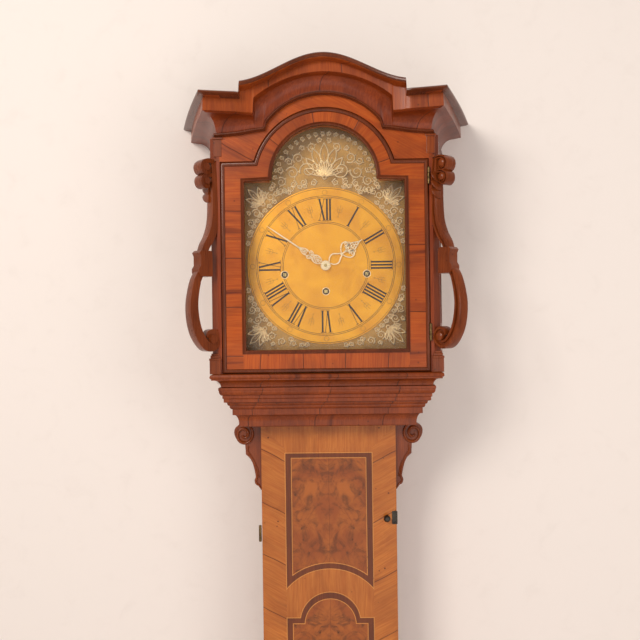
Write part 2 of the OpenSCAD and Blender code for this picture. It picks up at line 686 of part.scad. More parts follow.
// ---- going train ----
hand_t = 1.2;
y_hour_hand = y_dial - disc_t - 3.2;
y_minute_hand = y_hour_hand - 4;
y_arbor_end = y_back_plate - 0.5;
module centre_wheel() color("goldenrod") at(centre) {
    rod_y(centre_arbor_r, y_minute_hand - hand_t - 3, y_arbor_end);
    gear(centre_n, centre_m, y_gap0 + 6, y_gap0 + 8, bearing(centre, third));
    gear(leaves, great_m, y_gap0 + 15, y_gap0 + 20, -90 + 180 / leaves);
    gear(cannon_n, cannon_m, y_front_plate - 4, y_front_plate - 2, minute_turn);
}
module third_wheel() color("goldenrod") at(third) {
    rod_y(arbor_r, y_front_plate + 0.5, y_arbor_end);
    gear(leaves, centre_m, y_gap0 + 5, y_gap0 + 9, bearing(third, centre) + 180 / leaves);
    gear(third_n, third_m, y_gap0 + 30, y_gap0 + 32, bearing(third, escape));
}
escape_r = 24;
module escape_wheel() color("goldenrod") at(escape) {
    rod_y(arbor_r, y_front_plate + 0.5, y_arbor_end);
    gear(leaves, third_m, y_gap0 + 29, y_gap0 + 33, bearing(escape, third) + 180 / leaves);
    gear(escape_n, 2 * escape_r / (escape_n + 2 * tip_share), y_gap0 + 50, y_gap0 + 52, 0);
}
module great_wheel() color("goldenrod") at([drives[1][0], drives[1][1]]) difference() {
    union() {
        gear(great_n, great_m, y_gap0 + 16, y_gap0 + 19, 90);
        rod_y(9, y_gap0 + 15, y_gap0 + 20);
    }
    rod_y(barrel_arbor_r + running_gap, y_gap0, y_gap1);
}
module hour_wheel() color("goldenrod") at(centre) difference() {
    union() {
        gear(hour_n, motion_m, y_front_plate - 10, y_front_plate - 8, minute_turn);
        rod_y(hour_pipe_r, y_hour_hand, y_front_plate - 8);
    }
    rod_y(centre_arbor_r + running_gap, y_hour_hand - 9, y_front_plate);
}
module minute_wheel() color("goldenrod") at(minute_place) difference() {
    union() {
        gear(minute_n, cannon_m, y_front_plate - 4, y_front_plate - 2, minute_turn + 180 + 180 / minute_n);
        gear(minute_leaves, motion_m, y_front_plate - 11, y_front_plate - 3, minute_turn + 180 + 180 / minute_leaves);
    }
    rod_y(arbor_r + running_gap, y_front_plate - 20, y_front_plate);
}

// an anchor whose arms span the escape wheel, and the crutch that holds the pendulum rod
pallet_r = escape_r + 1.2;
crutch_l = 120;
rod_r = 3;
crutch_gap = 0.6;
module anchor() color("dimgray") {
    rod_y(arbor_r, y_front_plate + 0.5, y_pendulum - 15, pallet[0], pallet[1]);
    along_y(y_gap0 + 49, y_gap0 + 53) difference() {
        union() {
            translate([0, pallet[1]]) circle(r = 5);
            polygon([[-3, pallet[1] + 2], [3, pallet[1] + 2], [21, escape[1] + 18], [17, escape[1] + 19],
                     [0, pallet[1] - 4], [-17, escape[1] + 19], [-21, escape[1] + 18]]);
        }
        translate([0, escape[1]]) circle(r = pallet_r, $fn = 96);
    }
    block(-2.5, 2.5, y_pendulum - 18, y_pendulum - 15, pallet[1] - crutch_l, pallet[1] + 3);
    block(-rod_r - 4, rod_r + 4, y_pendulum - 18, y_pendulum - 15, pallet[1] - crutch_l, pallet[1] - crutch_l + 5);
    both_sides() block(rod_r + crutch_gap, rod_r + 4, y_pendulum - 18, y_pendulum + 4,
                       pallet[1] - crutch_l, pallet[1] - crutch_l + 5);
}
module pendulum() color("gold") {
    rod_y(arbor_r, y_pendulum - 8, y_pendulum + 8, pallet[0], pallet[1]);
    block(-4, 4, y_pendulum - 2, y_pendulum + 2, pallet[1] - 26, pallet[1] + 3);
    translate([0, y_pendulum, pallet[1] - pendulum_l - bob_r - 18]) cylinder(r = rod_r, h = pendulum_l + bob_r - 4);
    at([0, pallet[1] - pendulum_l]) translate([0, y_pendulum, 0]) rotate([90, 0, 0]) rotate_extrude($fn = 96)
        polygon([[0, -bob_t / 2], [0.6 * bob_r, -0.42 * bob_t], [bob_r, -0.08 * bob_t],
                 [bob_r, 0.08 * bob_t], [0.6 * bob_r, 0.42 * bob_t], [0, bob_t / 2]]);
    translate([0, y_pendulum, pallet[1] - pendulum_l - bob_r - 10]) cylinder(r = 8, h = 6);
}

// hands, drawn pointing up and then turned clockwise to the time shown
module hand(y, turn, boss_r, hole_r, outline) color("khaki") at(centre) rotate([0, turn, 0]) difference() {
    union() {
        rod_y(boss_r, y - hand_t, y);
        along_y(y - hand_t, y) polygon(outline);
    }
    rod_y(hole_r, y - hand_t - 1, y + 1);
}
module minute_hand() hand(y_minute_hand, 6 * show_minute, 8, centre_arbor_r,
    [[-1.5, 4], [-6, 50], [-2, 95], [0, 127], [2, 95], [6, 50], [1.5, 4]]);
module hour_hand() hand(y_hour_hand, 30 * show_hour + show_minute / 2, 9, centre_arbor_r + running_gap,
    [[-2, 5], [-14, 50], [-6, 62], [0, 81], [6, 62], [14, 50], [2, 5]]);

// ---- three drives ----
square_t = 6;
module barrel(d, drum0, drum1) color("peru") at(d) {
    rod_y(barrel_arbor_r, y_front_plate - 1, y_arbor_end);
    block(-square_t / 2, square_t / 2, y_dial - disc_t, y_front_plate - 1, -square_t / 2, square_t / 2);
    rod_y(barrel_r, drum0, drum1);
    rod_y(barrel_r + 3.5, drum0, drum0 + 2);
    rod_y(barrel_r + 3.5, drum1 - 2, drum1);
}
side_great_n = 80;
side_great_m = 0.9;
module side_barrel(d) {
    barrel(d, y_gap0 + 8, y_gap0 + 48);
    color("goldenrod") at(d) gear(side_great_n, side_great_m, y_gap0 + 55, y_gap0 + 58, 0);
    color("goldenrod") at(d) rod_y(9, y_gap0 + 48, y_gap0 + 58);
}
module strike_barrel() side_barrel(drives[0]);
module going_barrel() barrel(drives[1], y_gap0 + 22, y_gap0 + 61);
module chime_barrel() side_barrel(drives[2]);

pulley_rise = 46;
z_pulley = weight_floor_z + weight_h + pulley_rise;
module weight(d) {
    x = weight_x(d);
    color("goldenrod") translate([x, y_line, weight_floor_z]) cylinder(r = weight_r, h = weight_h);
    color("goldenrod") translate([x, y_line, weight_floor_z + weight_h]) cylinder(r = 2.5, h = 14);
    color("dimgray") for (y = [-1, 1]) block(x - 5, x + 5, y_line + y * 5 - 1, y_line + y * 5 + 1,
        weight_floor_z + weight_h + 12, z_pulley + 5);
    color("dimgray") block(x - 5, x + 5, y_line - 6, y_line + 6, weight_floor_z + weight_h + 12,
        weight_floor_z + weight_h + 15);
    color("goldenrod") rod_y(pulley_r, y_line - 4, y_line + 4, x, z_pulley);
}
module strike_weight() weight(drives[0]);
module going_weight() weight(drives[1]);
module chime_weight() weight(drives[2]);

// two falls of gut from each pulley up to the seat board
module line(d) color("wheat") for (s = [-1, 1])
    translate([weight_x(d) + s * (pulley_r + line_d / 2), y_line, z_pulley])
        cylinder(r = line_d / 2, h = z_seat_low - z_pulley);
module strike_line() line(drives[0]);
module going_line() line(drives[1]);
module chime_line() line(drives[2]);

backboard();
trunk_left_side();
trunk_right_side();
trunk_bottom_rail();
seat_board();
base_front();
base_left_side();
base_right_side();
plinth();
base_cap();
throat_moulding();
corbel_left();
corbel_right();
front_plate();
back_plate();
dial_plate();
dial_disc();
spandrels();
bell();
trunk_hinge_pins();
hood_base();
hood_left_side();
hood_right_side();
hood_left_glass();
hood_right_glass();
frieze();
cornice();
hood_top();
scroll_left();
scroll_right();
hood_hinge_pins();
hood_door_left_stile();
hood_door_right_stile();
hood_door_bottom_rail();
hood_door_arch_rail();
hood_door_glass();
hood_door_hinges();
trunk_door();
trunk_door_hinges();
trunk_latch();
minute_hand();
centre_wheel();
hour_hand();
hour_wheel();
minute_wheel();
third_wheel();
escape_wheel();
great_wheel();
anchor();
pendulum();
hammer();
strike_barrel();
going_barrel();
chime_barrel();
strike_weight();
going_weight();
chime_weight();
strike_line();
going_line();
chime_line();
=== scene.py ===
"""Grandfather clock: its finished surfaces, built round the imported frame.

Every size is in metres in the frame of the design: +X to the right, -Y out of the dial, +Z up.
"""
from __future__ import annotations

import json
import logging
import math
from dataclasses import dataclass
from enum import Enum
from typing import Sequence

import bmesh
import bpy
import numpy as np
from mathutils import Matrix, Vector

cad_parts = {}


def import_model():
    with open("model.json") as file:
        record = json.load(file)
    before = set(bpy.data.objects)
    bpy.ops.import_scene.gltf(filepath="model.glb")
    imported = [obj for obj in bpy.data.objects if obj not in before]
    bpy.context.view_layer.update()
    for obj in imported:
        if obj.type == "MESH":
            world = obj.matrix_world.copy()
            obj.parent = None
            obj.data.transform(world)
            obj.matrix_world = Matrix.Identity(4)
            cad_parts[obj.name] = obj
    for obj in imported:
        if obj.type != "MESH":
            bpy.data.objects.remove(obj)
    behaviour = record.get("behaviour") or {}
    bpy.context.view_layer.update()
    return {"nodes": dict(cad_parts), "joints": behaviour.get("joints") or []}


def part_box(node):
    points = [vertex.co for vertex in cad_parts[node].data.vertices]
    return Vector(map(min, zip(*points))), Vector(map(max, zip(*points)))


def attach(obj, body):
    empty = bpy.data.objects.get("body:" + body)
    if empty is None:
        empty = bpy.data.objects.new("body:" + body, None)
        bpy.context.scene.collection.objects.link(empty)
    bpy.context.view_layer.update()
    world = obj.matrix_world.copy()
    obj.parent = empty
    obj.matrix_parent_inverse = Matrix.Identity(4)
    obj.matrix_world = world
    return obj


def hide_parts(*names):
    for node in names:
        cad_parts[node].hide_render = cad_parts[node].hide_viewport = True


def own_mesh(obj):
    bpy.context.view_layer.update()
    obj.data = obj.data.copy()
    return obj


LOG = logging.getLogger("clock")
MM = 0.001
DOOR_RADIUS = 127 * MM
DOOR_SHOULDER = 93.1 * MM
SINK = -0.1 * MM
ETCH = 0.12 * MM
LEAF_FOOT = -0.4 * MM
Array = np.ndarray


# ---------------------------------------------------------------- shader expressions
class Shade:
    """One output socket that takes part in Python arithmetic."""

    def __init__(self, recipe: "Recipe", socket: bpy.types.NodeSocket) -> None:
        """Wrap a socket that belongs to a recipe."""
        self.recipe = recipe
        self.socket = socket

    def _math(self, operation: str, *others: "Shade | float") -> "Shade":
        """Add one Math node.

        Args:
            operation: the node's operation.
            others: the values or shades after this one.

        Returns:
            The node's output.
        """
        return self.recipe.node("ShaderNodeMath", {"operation": operation}, self, *others)

    def __add__(self, other: "Shade | float") -> "Shade":
        """Sum."""
        return self._math("ADD", other)

    __radd__ = __add__

    def __mul__(self, other: "Shade | float") -> "Shade":
        """Product."""
        return self._math("MULTIPLY", other)

    __rmul__ = __mul__

    def __sub__(self, other: "Shade | float") -> "Shade":
        """Difference."""
        return self._math("SUBTRACT", other)

    def __truediv__(self, other: float) -> "Shade":
        """Quotient by a number."""
        return self * (1.0 / other)

    def abs(self) -> "Shade":
        """Absolute value."""
        return self._math("ABSOLUTE")

    def sin(self) -> "Shade":
        """Sine."""
        return self._math("SINE")

    def fract(self) -> "Shade":
        """Fractional part."""
        return self._math("FRACT")

    def floor(self) -> "Shade":
        """Whole part."""
        return self._math("FLOOR")

    def power(self, exponent: float) -> "Shade":
        """Power."""
        return self._math("POWER", exponent)

    def arctan2(self, other: "Shade") -> "Shade":
        """Angle of the point (other, self)."""
        return self._math("ARCTAN2", other)

    def least(self, other: "Shade | float") -> "Shade":
        """Smaller of two."""
        return self._math("MINIMUM", other)

    def most(self, other: "Shade | float") -> "Shade":
        """Larger of two."""
        return self._math("MAXIMUM", other)

    def step(self, low: float, high: float) -> "Shade":
        """Smooth rise from 0 at low to 1 at high."""
        return self.recipe.node("ShaderNodeMapRange", {"interpolation_type": "SMOOTHSTEP"},
                                self, low, high, 0.0, 1.0)


class Recipe:
    """A node material whose nodes come from expressions."""

    def __init__(self, name: str) -> None:
        """Start an empty material with an output and a Principled shader."""
        self.material = bpy.data.materials.new(name)
        self.material.use_nodes = True
        self.tree = self.material.node_tree
        self.tree.nodes.clear()
        self.output = self.tree.nodes.new("ShaderNodeOutputMaterial")
        self.shader = self.tree.nodes.new("ShaderNodeBsdfPrincipled")
        self.tree.links.new(self.shader.outputs[0], self.output.inputs[0])

    def node(self, kind: str, settings: dict, *values: object, output: int | str = 0) -> Shade:
        """Add any node.

        Args:
            kind: the node's type.
            settings: its properties, set before its sockets.
            values: socket values or shades in order; None leaves a socket alone.
            output: which output to return.

        Returns:
            The chosen output.
        """
        made = self.tree.nodes.new(kind)
        for key, value in settings.items():
            setattr(made, key, value)
        sockets = [s for s in made.inputs if s.enabled]
        for socket, value in zip(sockets, values):
            if isinstance(value, Shade):
                self.tree.links.new(value.socket, socket)
            elif value is not None:
                socket.default_value = value
        return Shade(self, made.outputs[output])

    def place(self, scale: Sequence[float] = (1, 1, 1), turn: Sequence[float] = (0, 0, 0),
              shift: Sequence[float] = (0, 0, 0)) -> Shade:
        """Return Object coordinates after a shift, a turn in radians and a scale."""
        where = self.node("ShaderNodeTexCoord", {}, output="Object")
        moved = self.node("ShaderNodeMapping", {}, where, tuple(shift), tuple(turn))
        return self.node("ShaderNodeMapping", {}, moved, (0, 0, 0), (0, 0, 0), tuple(scale))

    def axes(self, vector: Shade) -> tuple[Shade, Shade, Shade]:
        """Split a vector into its three numbers."""
        parts = self.tree.nodes.new("ShaderNodeSeparateXYZ")
        self.tree.links.new(vector.socket, parts.inputs[0])
        return tuple(Shade(self, out) for out in parts.outputs)

    def joined(self, x: "Shade | float", y: "Shade | float", z: "Shade | float") -> Shade:
        """Build a vector from three numbers."""
        return self.node("ShaderNodeCombineXYZ", {}, x, y, z)

    def noise(self, where: Shade, scale: float, detail: float = 4.0, rough: float = 0.55,
              warp: float = 0.0) -> Shade:
        """Return a noise value from 0 to 1."""
        return self.node("ShaderNodeTexNoise", {"noise_dimensions": "3D"}, where, scale, detail, rough,
                         2.0, warp)

    def cells(self, where: Shade, scale: float, feature: str = "F1") -> Shade:
        """Return the distance inside a cell pattern."""
        return self.node("ShaderNodeTexVoronoi", {"feature": feature}, where, scale)

    def mix(self, amount: "Shade | float", low: object, high: object, blend: str = "MIX") -> Shade:
        """Mix two colours; a plain tuple of three is a colour."""
        low, high = ((*c, 1.0) if isinstance(c, tuple) else c for c in (low, high))
        return self.node("ShaderNodeMix", {"data_type": "RGBA", "blend_type": blend}, amount, low, high,
                         output=2)

    def bump(self, height: Shade, distance: float, strength: float = 1.0) -> Shade:
        """Return a normal raised by a height."""
        made = self.tree.nodes.new("ShaderNodeBump")
        made.inputs["Strength"].default_value = strength
        made.inputs["Distance"].default_value = distance
        self.tree.links.new(height.socket, made.inputs["Height"])
        return Shade(self, made.outputs[0])

    def finish(self, **sockets: object) -> bpy.types.Material:
        """Set the shader's own sockets.

        Args:
            sockets: socket names, with underscores for spaces, and their values or shades.

        Returns:
            The finished material.
        """
        for name, value in sockets.items():
            socket = self.shader.inputs[name.replace("_", " ")]
            if isinstance(value, Shade):
                self.tree.links.new(value.socket, socket)
            else:
                socket.default_value = (*value, 1.0) if isinstance(value, tuple) and len(value) == 3 else value
        return self.material


# ---------------------------------------------------------------- finishes
Colour = tuple[float, float, float]
POLISH = {"Coat_Weight": 0.12, "Coat_Roughness": 0.08, "Specular_IOR_Level": 0.22}


class Grain(Enum):
    """Direction that the grain of a piece runs in."""

    UP = "up"
    ACROSS = "across"
    RISING = "rising"
    FALLING = "falling"
    RADIAL = "radial"


GRAIN_TURN = {Grain.UP: (0, 0, 0), Grain.ACROSS: (0, math.pi / 2, 0),
              Grain.RISING: (0, math.radians(62), 0), Grain.FALLING: (0, math.radians(-62), 0)}


@dataclass(frozen=True)
class Veneer:
    """Polished veneer laid in leaves, with fine grain, soft figure and dark streaks.

    Attributes:
        name: the material's name.
        pale: colour between the grain lines.
        rich: main colour.
        dark: colour of streaks and pores.
        grain: direction of the grain.
        leaf: width of one leaf of veneer across the grain.
        streak: how strongly the dark streaks show.
        centre: place that a radial grain runs out from.
        gloss: roughness of the polish.
        flecks: how strongly small dark knots show.
    """

    name: str
    pale: Colour
    rich: Colour
    dark: Colour
    grain: Grain = Grain.UP
    leaf: float = 0.07
    streak: float = 0.6
    centre: tuple[float, float, float] = (0.0, 0.0, 0.0)
    gloss: float = 0.3
    flecks: float = 0.5

    def _where(self, recipe: Recipe) -> Shade:
        """Return coordinates whose Z runs along the grain."""
        if self.grain is not Grain.RADIAL:
            return recipe.place(turn=GRAIN_TURN[self.grain], shift=tuple(-c for c in self.centre))
        x, y, z = recipe.axes(recipe.place(shift=tuple(-c for c in self.centre)))
        reach = (x * x + z * z).power(0.5)
        return recipe.joined(z.arctan2(x) * 0.11, y, reach)

    def make(self) -> bpy.types.Material:
        """Return the material: long noise along the grain, one tone per leaf, thin dark streaks."""
        recipe = Recipe(self.name)
        where = self._where(recipe)
        x, y, z = recipe.axes(where)
        drift = recipe.noise(where, 9.0, 2.0)
        across = x + y + drift * 0.012
        fine = recipe.noise(recipe.joined(across * 26.0, y * 26.0, z * 1.1), 18.0, 5.0, 0.6)
        figure = recipe.noise(recipe.joined(x * 3.0, y * 3.0, z * 1.2), 7.0, 4.0, 0.6, 0.6)
        place = across / self.leaf + 0.5
        tone = recipe.node("ShaderNodeTexWhiteNoise", {"noise_dimensions": "1D"}, place.floor())
        edge = (place.fract() - 0.5).abs()
        joint = edge.step(0.5 - 0.0011 / self.leaf, 0.5 - 0.0004 / self.leaf)
        streaks = recipe.noise(recipe.joined(across * 8.0, y * 3.0, z * 0.5), 5.0, 3.0, 0.5, 0.4)
        streak = streaks.step(0.60, 0.74) * self.streak
        base = recipe.mix(fine.step(0.25, 0.75), self.rich, self.pale)
        toned = recipe.mix(figure.step(0.35, 0.75) * 0.45 + tone * 0.25, base, self.dark)
        streaked = recipe.mix(streak, toned, self.dark)
        flecks = recipe.cells(where, 52.0).step(0.11, 0.06) * recipe.noise(where, 30.0).step(0.44, 0.52)
        specked = recipe.mix(flecks * self.flecks, streaked, tuple(0.4 * c for c in self.dark))
        colour = recipe.mix(joint * 0.75, specked, tuple(0.35 * c for c in self.dark))
        wear = recipe.noise(recipe.place(), 14.0, 3.0)
        height = fine * 0.5 - joint * 1.5 + wear * 0.6
        return recipe.finish(Base_Color=colour, Roughness=wear * 0.16 + (self.gloss - 0.06) + fine * 0.05,
                             Normal=recipe.bump(height, 0.00025, 0.6), **POLISH)


@dataclass(frozen=True)
class Burl:
    """Book-matched burl: swirling noise mirrored about the middle of the panel."""

    name: str
    pale: Colour
    rich: Colour
    dark: Colour

    def make(self) -> bpy.types.Material:
        """Return the material: the distance from the centre line drives warped noise and small eyes."""
        recipe = Recipe(self.name)
        x, y, z = recipe.axes(recipe.place())
        side = (x * 1000.0).step(-0.5, 0.5) * 0.006
        where = recipe.joined(x.abs() + side, y, z)
        swirl = recipe.noise(where, 11.0, 5.0, 0.6, 1.6)
        cloud = recipe.noise(where, 26.0, 6.0, 0.65, 2.4)
        slanted = recipe.joined((x.abs() + z * 0.6) * 6.0, y, (z - x.abs()) * 1.0)
        rays = recipe.noise(slanted, 9.0, 4.0, 0.6, 0.8)
        eyes = recipe.cells(where, 95.0).step(0.30, 0.10) * cloud.step(0.5, 0.62)
        base = recipe.mix(swirl.step(0.3, 0.7), self.rich, self.pale)
        shaded = recipe.mix(cloud.step(0.42, 0.72) * 0.75, base, self.dark)
        rayed = recipe.mix(rays.step(0.5, 0.8) * 0.55, shaded, self.dark)
        seam = (x.abs() * 1000.0).step(0.6, 0.2)
        colour = recipe.mix(eyes * 0.55 + seam * 0.4, rayed, tuple(0.4 * c for c in self.dark))
        return recipe.finish(Base_Color=colour, Roughness=cloud * 0.12 + 0.24,
                             Normal=recipe.bump(cloud + swirl, 0.0002, 0.5), **POLISH)


@dataclass(frozen=True)
class PlainWood:
    """Unpolished boards inside the case, with long grain and saw marks."""

    name: str
    pale: Colour
    dark: Colour

    def make(self) -> bpy.types.Material:
        """Return the material: stretched noise along Z with faint cross scratches."""
        recipe = Recipe(self.name)
        where = recipe.place(scale=(1, 1, 0.06))
        grain = recipe.noise(where, 60.0, 5.0, 0.6, 0.6)
        broad = recipe.noise(where, 9.0, 3.0, 0.5, 0.8)
        saw = recipe.noise(recipe.place(scale=(0.2, 0.2, 6)), 40.0, 2.0)
        colour = recipe.mix(grain.step(0.3, 0.7) * 0.6 + broad * 0.4, self.pale, self.dark)
        return recipe.finish(Base_Color=colour, Roughness=saw * 0.2 + 0.55,
                             Normal=recipe.bump(grain + saw * 0.5, 0.0006, 0.6))


@dataclass(frozen=True)
class Metal:
    """Worked metal: brushed or cast, with tarnish that gathers unevenly.

    Attributes:
        name: the material's name.
        bright: colour where it is rubbed.
        dull: colour where it is tarnished.
        rough: mean roughness.
        pits: depth of the cast or matted surface.
        pit_scale: fineness of that surface.
        tarnish: how much of it is dull.
        metallic: how far it reflects as bare metal.
    """

    name: str
    bright: Colour
    dull: Colour
    rough: float = 0.3
    pits: float = 0.0001
    pit_scale: float = 400.0
    tarnish: float = 0.5
    metallic: float = 1.0

    def make(self) -> bpy.types.Material:
        """Return the material: two noises share out the tarnish and a fine one pits the surface."""
        recipe = Recipe(self.name)
        where = recipe.place()
        patches = recipe.noise(where, 22.0, 5.0, 0.6, 0.5)
        pits = recipe.noise(where, self.pit_scale, 3.0, 0.6)
        scratches = recipe.noise(recipe.place(scale=(1, 1, 14)), 90.0, 3.0, 0.5)
        amount = patches.step(0.75 - 0.5 * self.tarnish, 1.1 - 0.4 * self.tarnish) + pits * 0.25 * self.tarnish
        colour = recipe.mix(amount.least(1.0), self.bright, self.dull)
        return recipe.finish(Base_Color=colour, Metallic=self.metallic,
                             Roughness=(amount * 0.22 + scratches * 0.14 + (self.rough - 0.09)).most(0.08),
                             Normal=recipe.bump(pits + scratches * 0.3, self.pits, 0.7))


@dataclass(frozen=True)
class GiltDial:
    """The gilt hour disc: fine circular brushing round the dial centre and a soft patina."""

    name: str
    centre: tuple[float, float, float]

    def make(self) -> bpy.types.Material:
        """Return the material: noise over the distance from the centre gives the brushing."""
        recipe = Recipe(self.name)
        x, _, z = recipe.axes(recipe.place(shift=tuple(-c for c in self.centre)))
        reach = (x * x + z * z).power(0.5)
        rings = recipe.noise(recipe.joined(reach * 900.0, z.arctan2(x) * 0.6, 0.0), 1.0, 4.0, 0.6)
        patina = recipe.noise(recipe.place(), 24.0, 5.0, 0.6, 0.6)
        spots = recipe.cells(recipe.place(), 85.0).step(0.13, 0.05) * patina.step(0.5, 0.6)
        base = recipe.mix(patina.step(0.3, 0.75), (0.84, 0.385, 0.014), (0.68, 0.275, 0.009))
        colour = recipe.mix(spots * 0.55 + rings.step(0.55, 0.9) * 0.15, base, (0.30, 0.14, 0.03))
        return recipe.finish(Base_Color=colour, Metallic=0.62, Specular_IOR_Level=0.2,
                             Roughness=rings * 0.12 + 0.34, Normal=recipe.bump(rings, 0.00008, 0.6))


@dataclass(frozen=True)
class Pane:
    """Old window glass with a faint waviness."""

    name: str

    def make(self) -> bpy.types.Material:
        """Return the material: mostly clear, with the gloss of glass over long soft waves."""
        recipe = Recipe(self.name)
        waves = recipe.noise(recipe.place(scale=(1, 1, 0.5)), 7.0, 2.0)
        return recipe.finish(Base_Color=(0.93, 0.96, 0.95), Roughness=waves * 0.02 + 0.02,
                             Alpha=waves * 0.02 + 0.02, Normal=recipe.bump(waves, 0.0006, 0.3))


@dataclass(frozen=True)
class Fibre:
    """Twisted gut line."""

    name: str

    def make(self) -> bpy.types.Material:
        """Return the material: a slanting ripple along the line."""
        recipe = Recipe(self.name)
        x, y, z = recipe.axes(recipe.place())
        twist = ((z * 1400.0) + (x + y) * 900.0).sin() * 0.5 + 0.5
        colour = recipe.mix(twist, (0.42, 0.27, 0.10), (0.66, 0.48, 0.24))
        return recipe.finish(Base_Color=colour, Roughness=twist * 0.1 + 0.4,
                             Normal=recipe.bump(twist, 0.0002, 0.8))


@dataclass(frozen=True)
class Ink:
    """Dark wax that fills the engraved lines and numerals."""

    name: str
    fresh: Colour
    worn: Colour

    def make(self) -> bpy.types.Material:
        """Return the material: near-black wax, a little worn."""
        recipe = Recipe(self.name)
        worn = recipe.noise(recipe.place(), 160.0, 4.0)
        colour = recipe.mix(worn.step(0.55, 0.9) * 0.5, self.fresh, self.worn)
        return recipe.finish(Base_Color=colour, Roughness=worn * 0.2 + 0.45, Specular_IOR_Level=0.1,
                             Normal=recipe.bump(worn, 0.00005, 0.4))


# ---------------------------------------------------------------- surfaces
def grid_faces(rows: int, columns: int, wrap_rows: bool, wrap_columns: bool) -> Array:
    """Return the quads that join a grid of points.

    Args:
        rows: number of rows.
        columns: number of columns.
        wrap_rows: whether the last row joins the first.
        wrap_columns: whether the last column joins the first.

    Returns:
        An array of four indices per face.
    """
    row = np.arange(rows if wrap_rows else rows - 1)
    column = np.arange(columns if wrap_columns else columns - 1)
    a, b = np.meshgrid(row, column, indexing="ij")
    after, beside = (a + 1) % rows, (b + 1) % columns
    return np.stack([a * columns + b, after * columns + b, after * columns + beside, a * columns + beside],
                    -1).reshape(-1, 4)


@dataclass(frozen=True)
class Plane:
    """A flat working plane set in the clock: a across it, b up it, c out of it."""

    origin: tuple[float, float, float]
    a: tuple[float, float, float] = (1.0, 0.0, 0.0)
    b: tuple[float, float, float] = (0.0, 0.0, 1.0)

    def lift(self, across: Array, up: Array, out: Array | float) -> Array:
        """Return points of space from plane coordinates and a height out of the plane."""
        a, b = np.array(self.a), np.array(self.b)
        c = np.cross(a, b)
        out = np.broadcast_to(out, np.shape(across))
        return np.array(self.origin) + across[..., None] * a + up[..., None] * b + out[..., None] * c


class Shell:
    """A mesh that grows from grids, sweeps, plates and turned shapes."""

    def __init__(self) -> None:
        """Start with no points."""
        self.points: list[Array] = []
        self.faces: list[list[int]] = []
        self.count = 0

    def grid(self, points: Array, wrap_rows: bool = False, wrap_columns: bool = False,
             caps: bool = False) -> None:
        """Add a grid of points, with its first and last rows closed by flat faces if caps is set."""
        rows, columns = points.shape[:2]
        faces = grid_faces(rows, columns, wrap_rows, wrap_columns) + self.count
        self.faces.extend(faces.tolist())
        if caps:
            self.faces.append((np.arange(columns) + self.count).tolist())
            self.faces.append((np.arange(columns)[::-1] + self.count + (rows - 1) * columns).tolist())
        self.points.append(points.reshape(-1, 3))
        self.count += rows * columns

    def sweep(self, plane: Plane, path: Array, section: Array, width: Array | float = 1.0,
              depth: Array | float = 1.0, closed: bool = False) -> None:
        """Carry a closed section along a path in a plane, mitred where the path turns.

        Args:
            plane: the plane that holds the path.
            path: points across and up the plane.
            section: points beside the path and out of the plane.
            width: factor on the section's first number, along the path.
            depth: factor on its second number, along the path.
            closed: whether the path returns to its start.
        """
        ahead = np.roll(path, -1, 0) - path
        ahead /= np.maximum(np.linalg.norm(ahead, axis=1, keepdims=True), 1e-9)
        normal = np.stack([-ahead[:, 1], ahead[:, 0]], 1)
        before = np.roll(normal, 1, 0)
        if not closed:
            before[0], normal[-1] = normal[0], normal[-2]
        turn = 1.0 + np.sum(before * normal, 1, keepdims=True)
        beside = (before + normal) / np.maximum(turn, 0.2)
        wide = np.broadcast_to(width, len(path))[:, None] * section[None, :, 0]
        out = np.broadcast_to(depth, len(path))[:, None] * section[None, :, 1]
        flat = path[:, None, :] + beside[:, None, :] * wide[..., None]
        self.grid(plane.lift(flat[..., 0], flat[..., 1], out), closed, True, not closed)

    def plate(self, plane: Plane, outline: Array, low: float, high: float) -> None:
        """Add a flat plate with the given outline between two heights out of its plane."""
        across, up = outline[:, 0], outline[:, 1]
        self.grid(np.stack([plane.lift(across, up, low), plane.lift(across, up, high)]), False, True, True)

    def turned(self, centre: Sequence[float], profile: Array, axis: int = 1, steps: int = 64) -> None:
        """Turn a profile of (radius, place along the axis) points; its ends close on the axis or as rings.

        Args:
            centre: a point on the axis.
            profile: radius and place along the axis.
            axis: 1 for the Y axis, 2 for the Z axis.
            steps: number of sides.
        """
        angle = np.linspace(0, 2 * math.pi, steps, endpoint=False)
        radius, along = profile[:, 0, None], profile[:, 1, None]
        one, other = radius * np.cos(angle), radius * np.sin(angle)
        still = np.broadcast_to(along, one.shape)
        order = {1: (one, still, other), 2: (one, other, still)}[axis]
        self.grid(np.stack(order, -1) + np.array(centre), False, True)

    def piece(self, name: str, material: bpy.types.Material, body: str, slot: str, *stands_for: str,
              bevel: float = 0.0, sharp: float = 35.0, flat: bool = False) -> bpy.types.Object:
        """Make the object, ride it on its body and hide the nodes that it stands for.

        Args:
            name: the object's name.
            material: its finish.
            body: the body that it moves with.
            slot: the record's slot of its finish; not used.
            stands_for: nodes that it replaces.
            bevel: width of a small bevel on its sharp edges.
            sharp: angle in degrees past which an edge stays sharp.
            flat: whether every face stays flat.

        Returns:
            The new object.
        """
        mesh = bpy.data.meshes.new(name)
        mesh.from_pydata(np.concatenate(self.points).tolist(), [], self.faces)
        tidy_mesh(mesh)
        mesh.materials.append(material)
        made = bpy.data.objects.new(name, mesh)
        bpy.context.scene.collection.objects.link(made)
        if not flat:
            mesh.shade_smooth()
            mesh.set_sharp_from_angle(angle=math.radians(sharp))
        if bevel:
            edge = made.modifiers.new("worn edges", "BEVEL")
            edge.width, edge.segments, edge.limit_method = bevel, 2, "ANGLE"
            edge.angle_limit = math.radians(40)
            edge.harden_normals = False
        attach(made, body)
        if stands_for:
            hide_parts(*stands_for)
        LOG.info("%s: %d faces on %s", name, len(mesh.polygons), body)
        return made


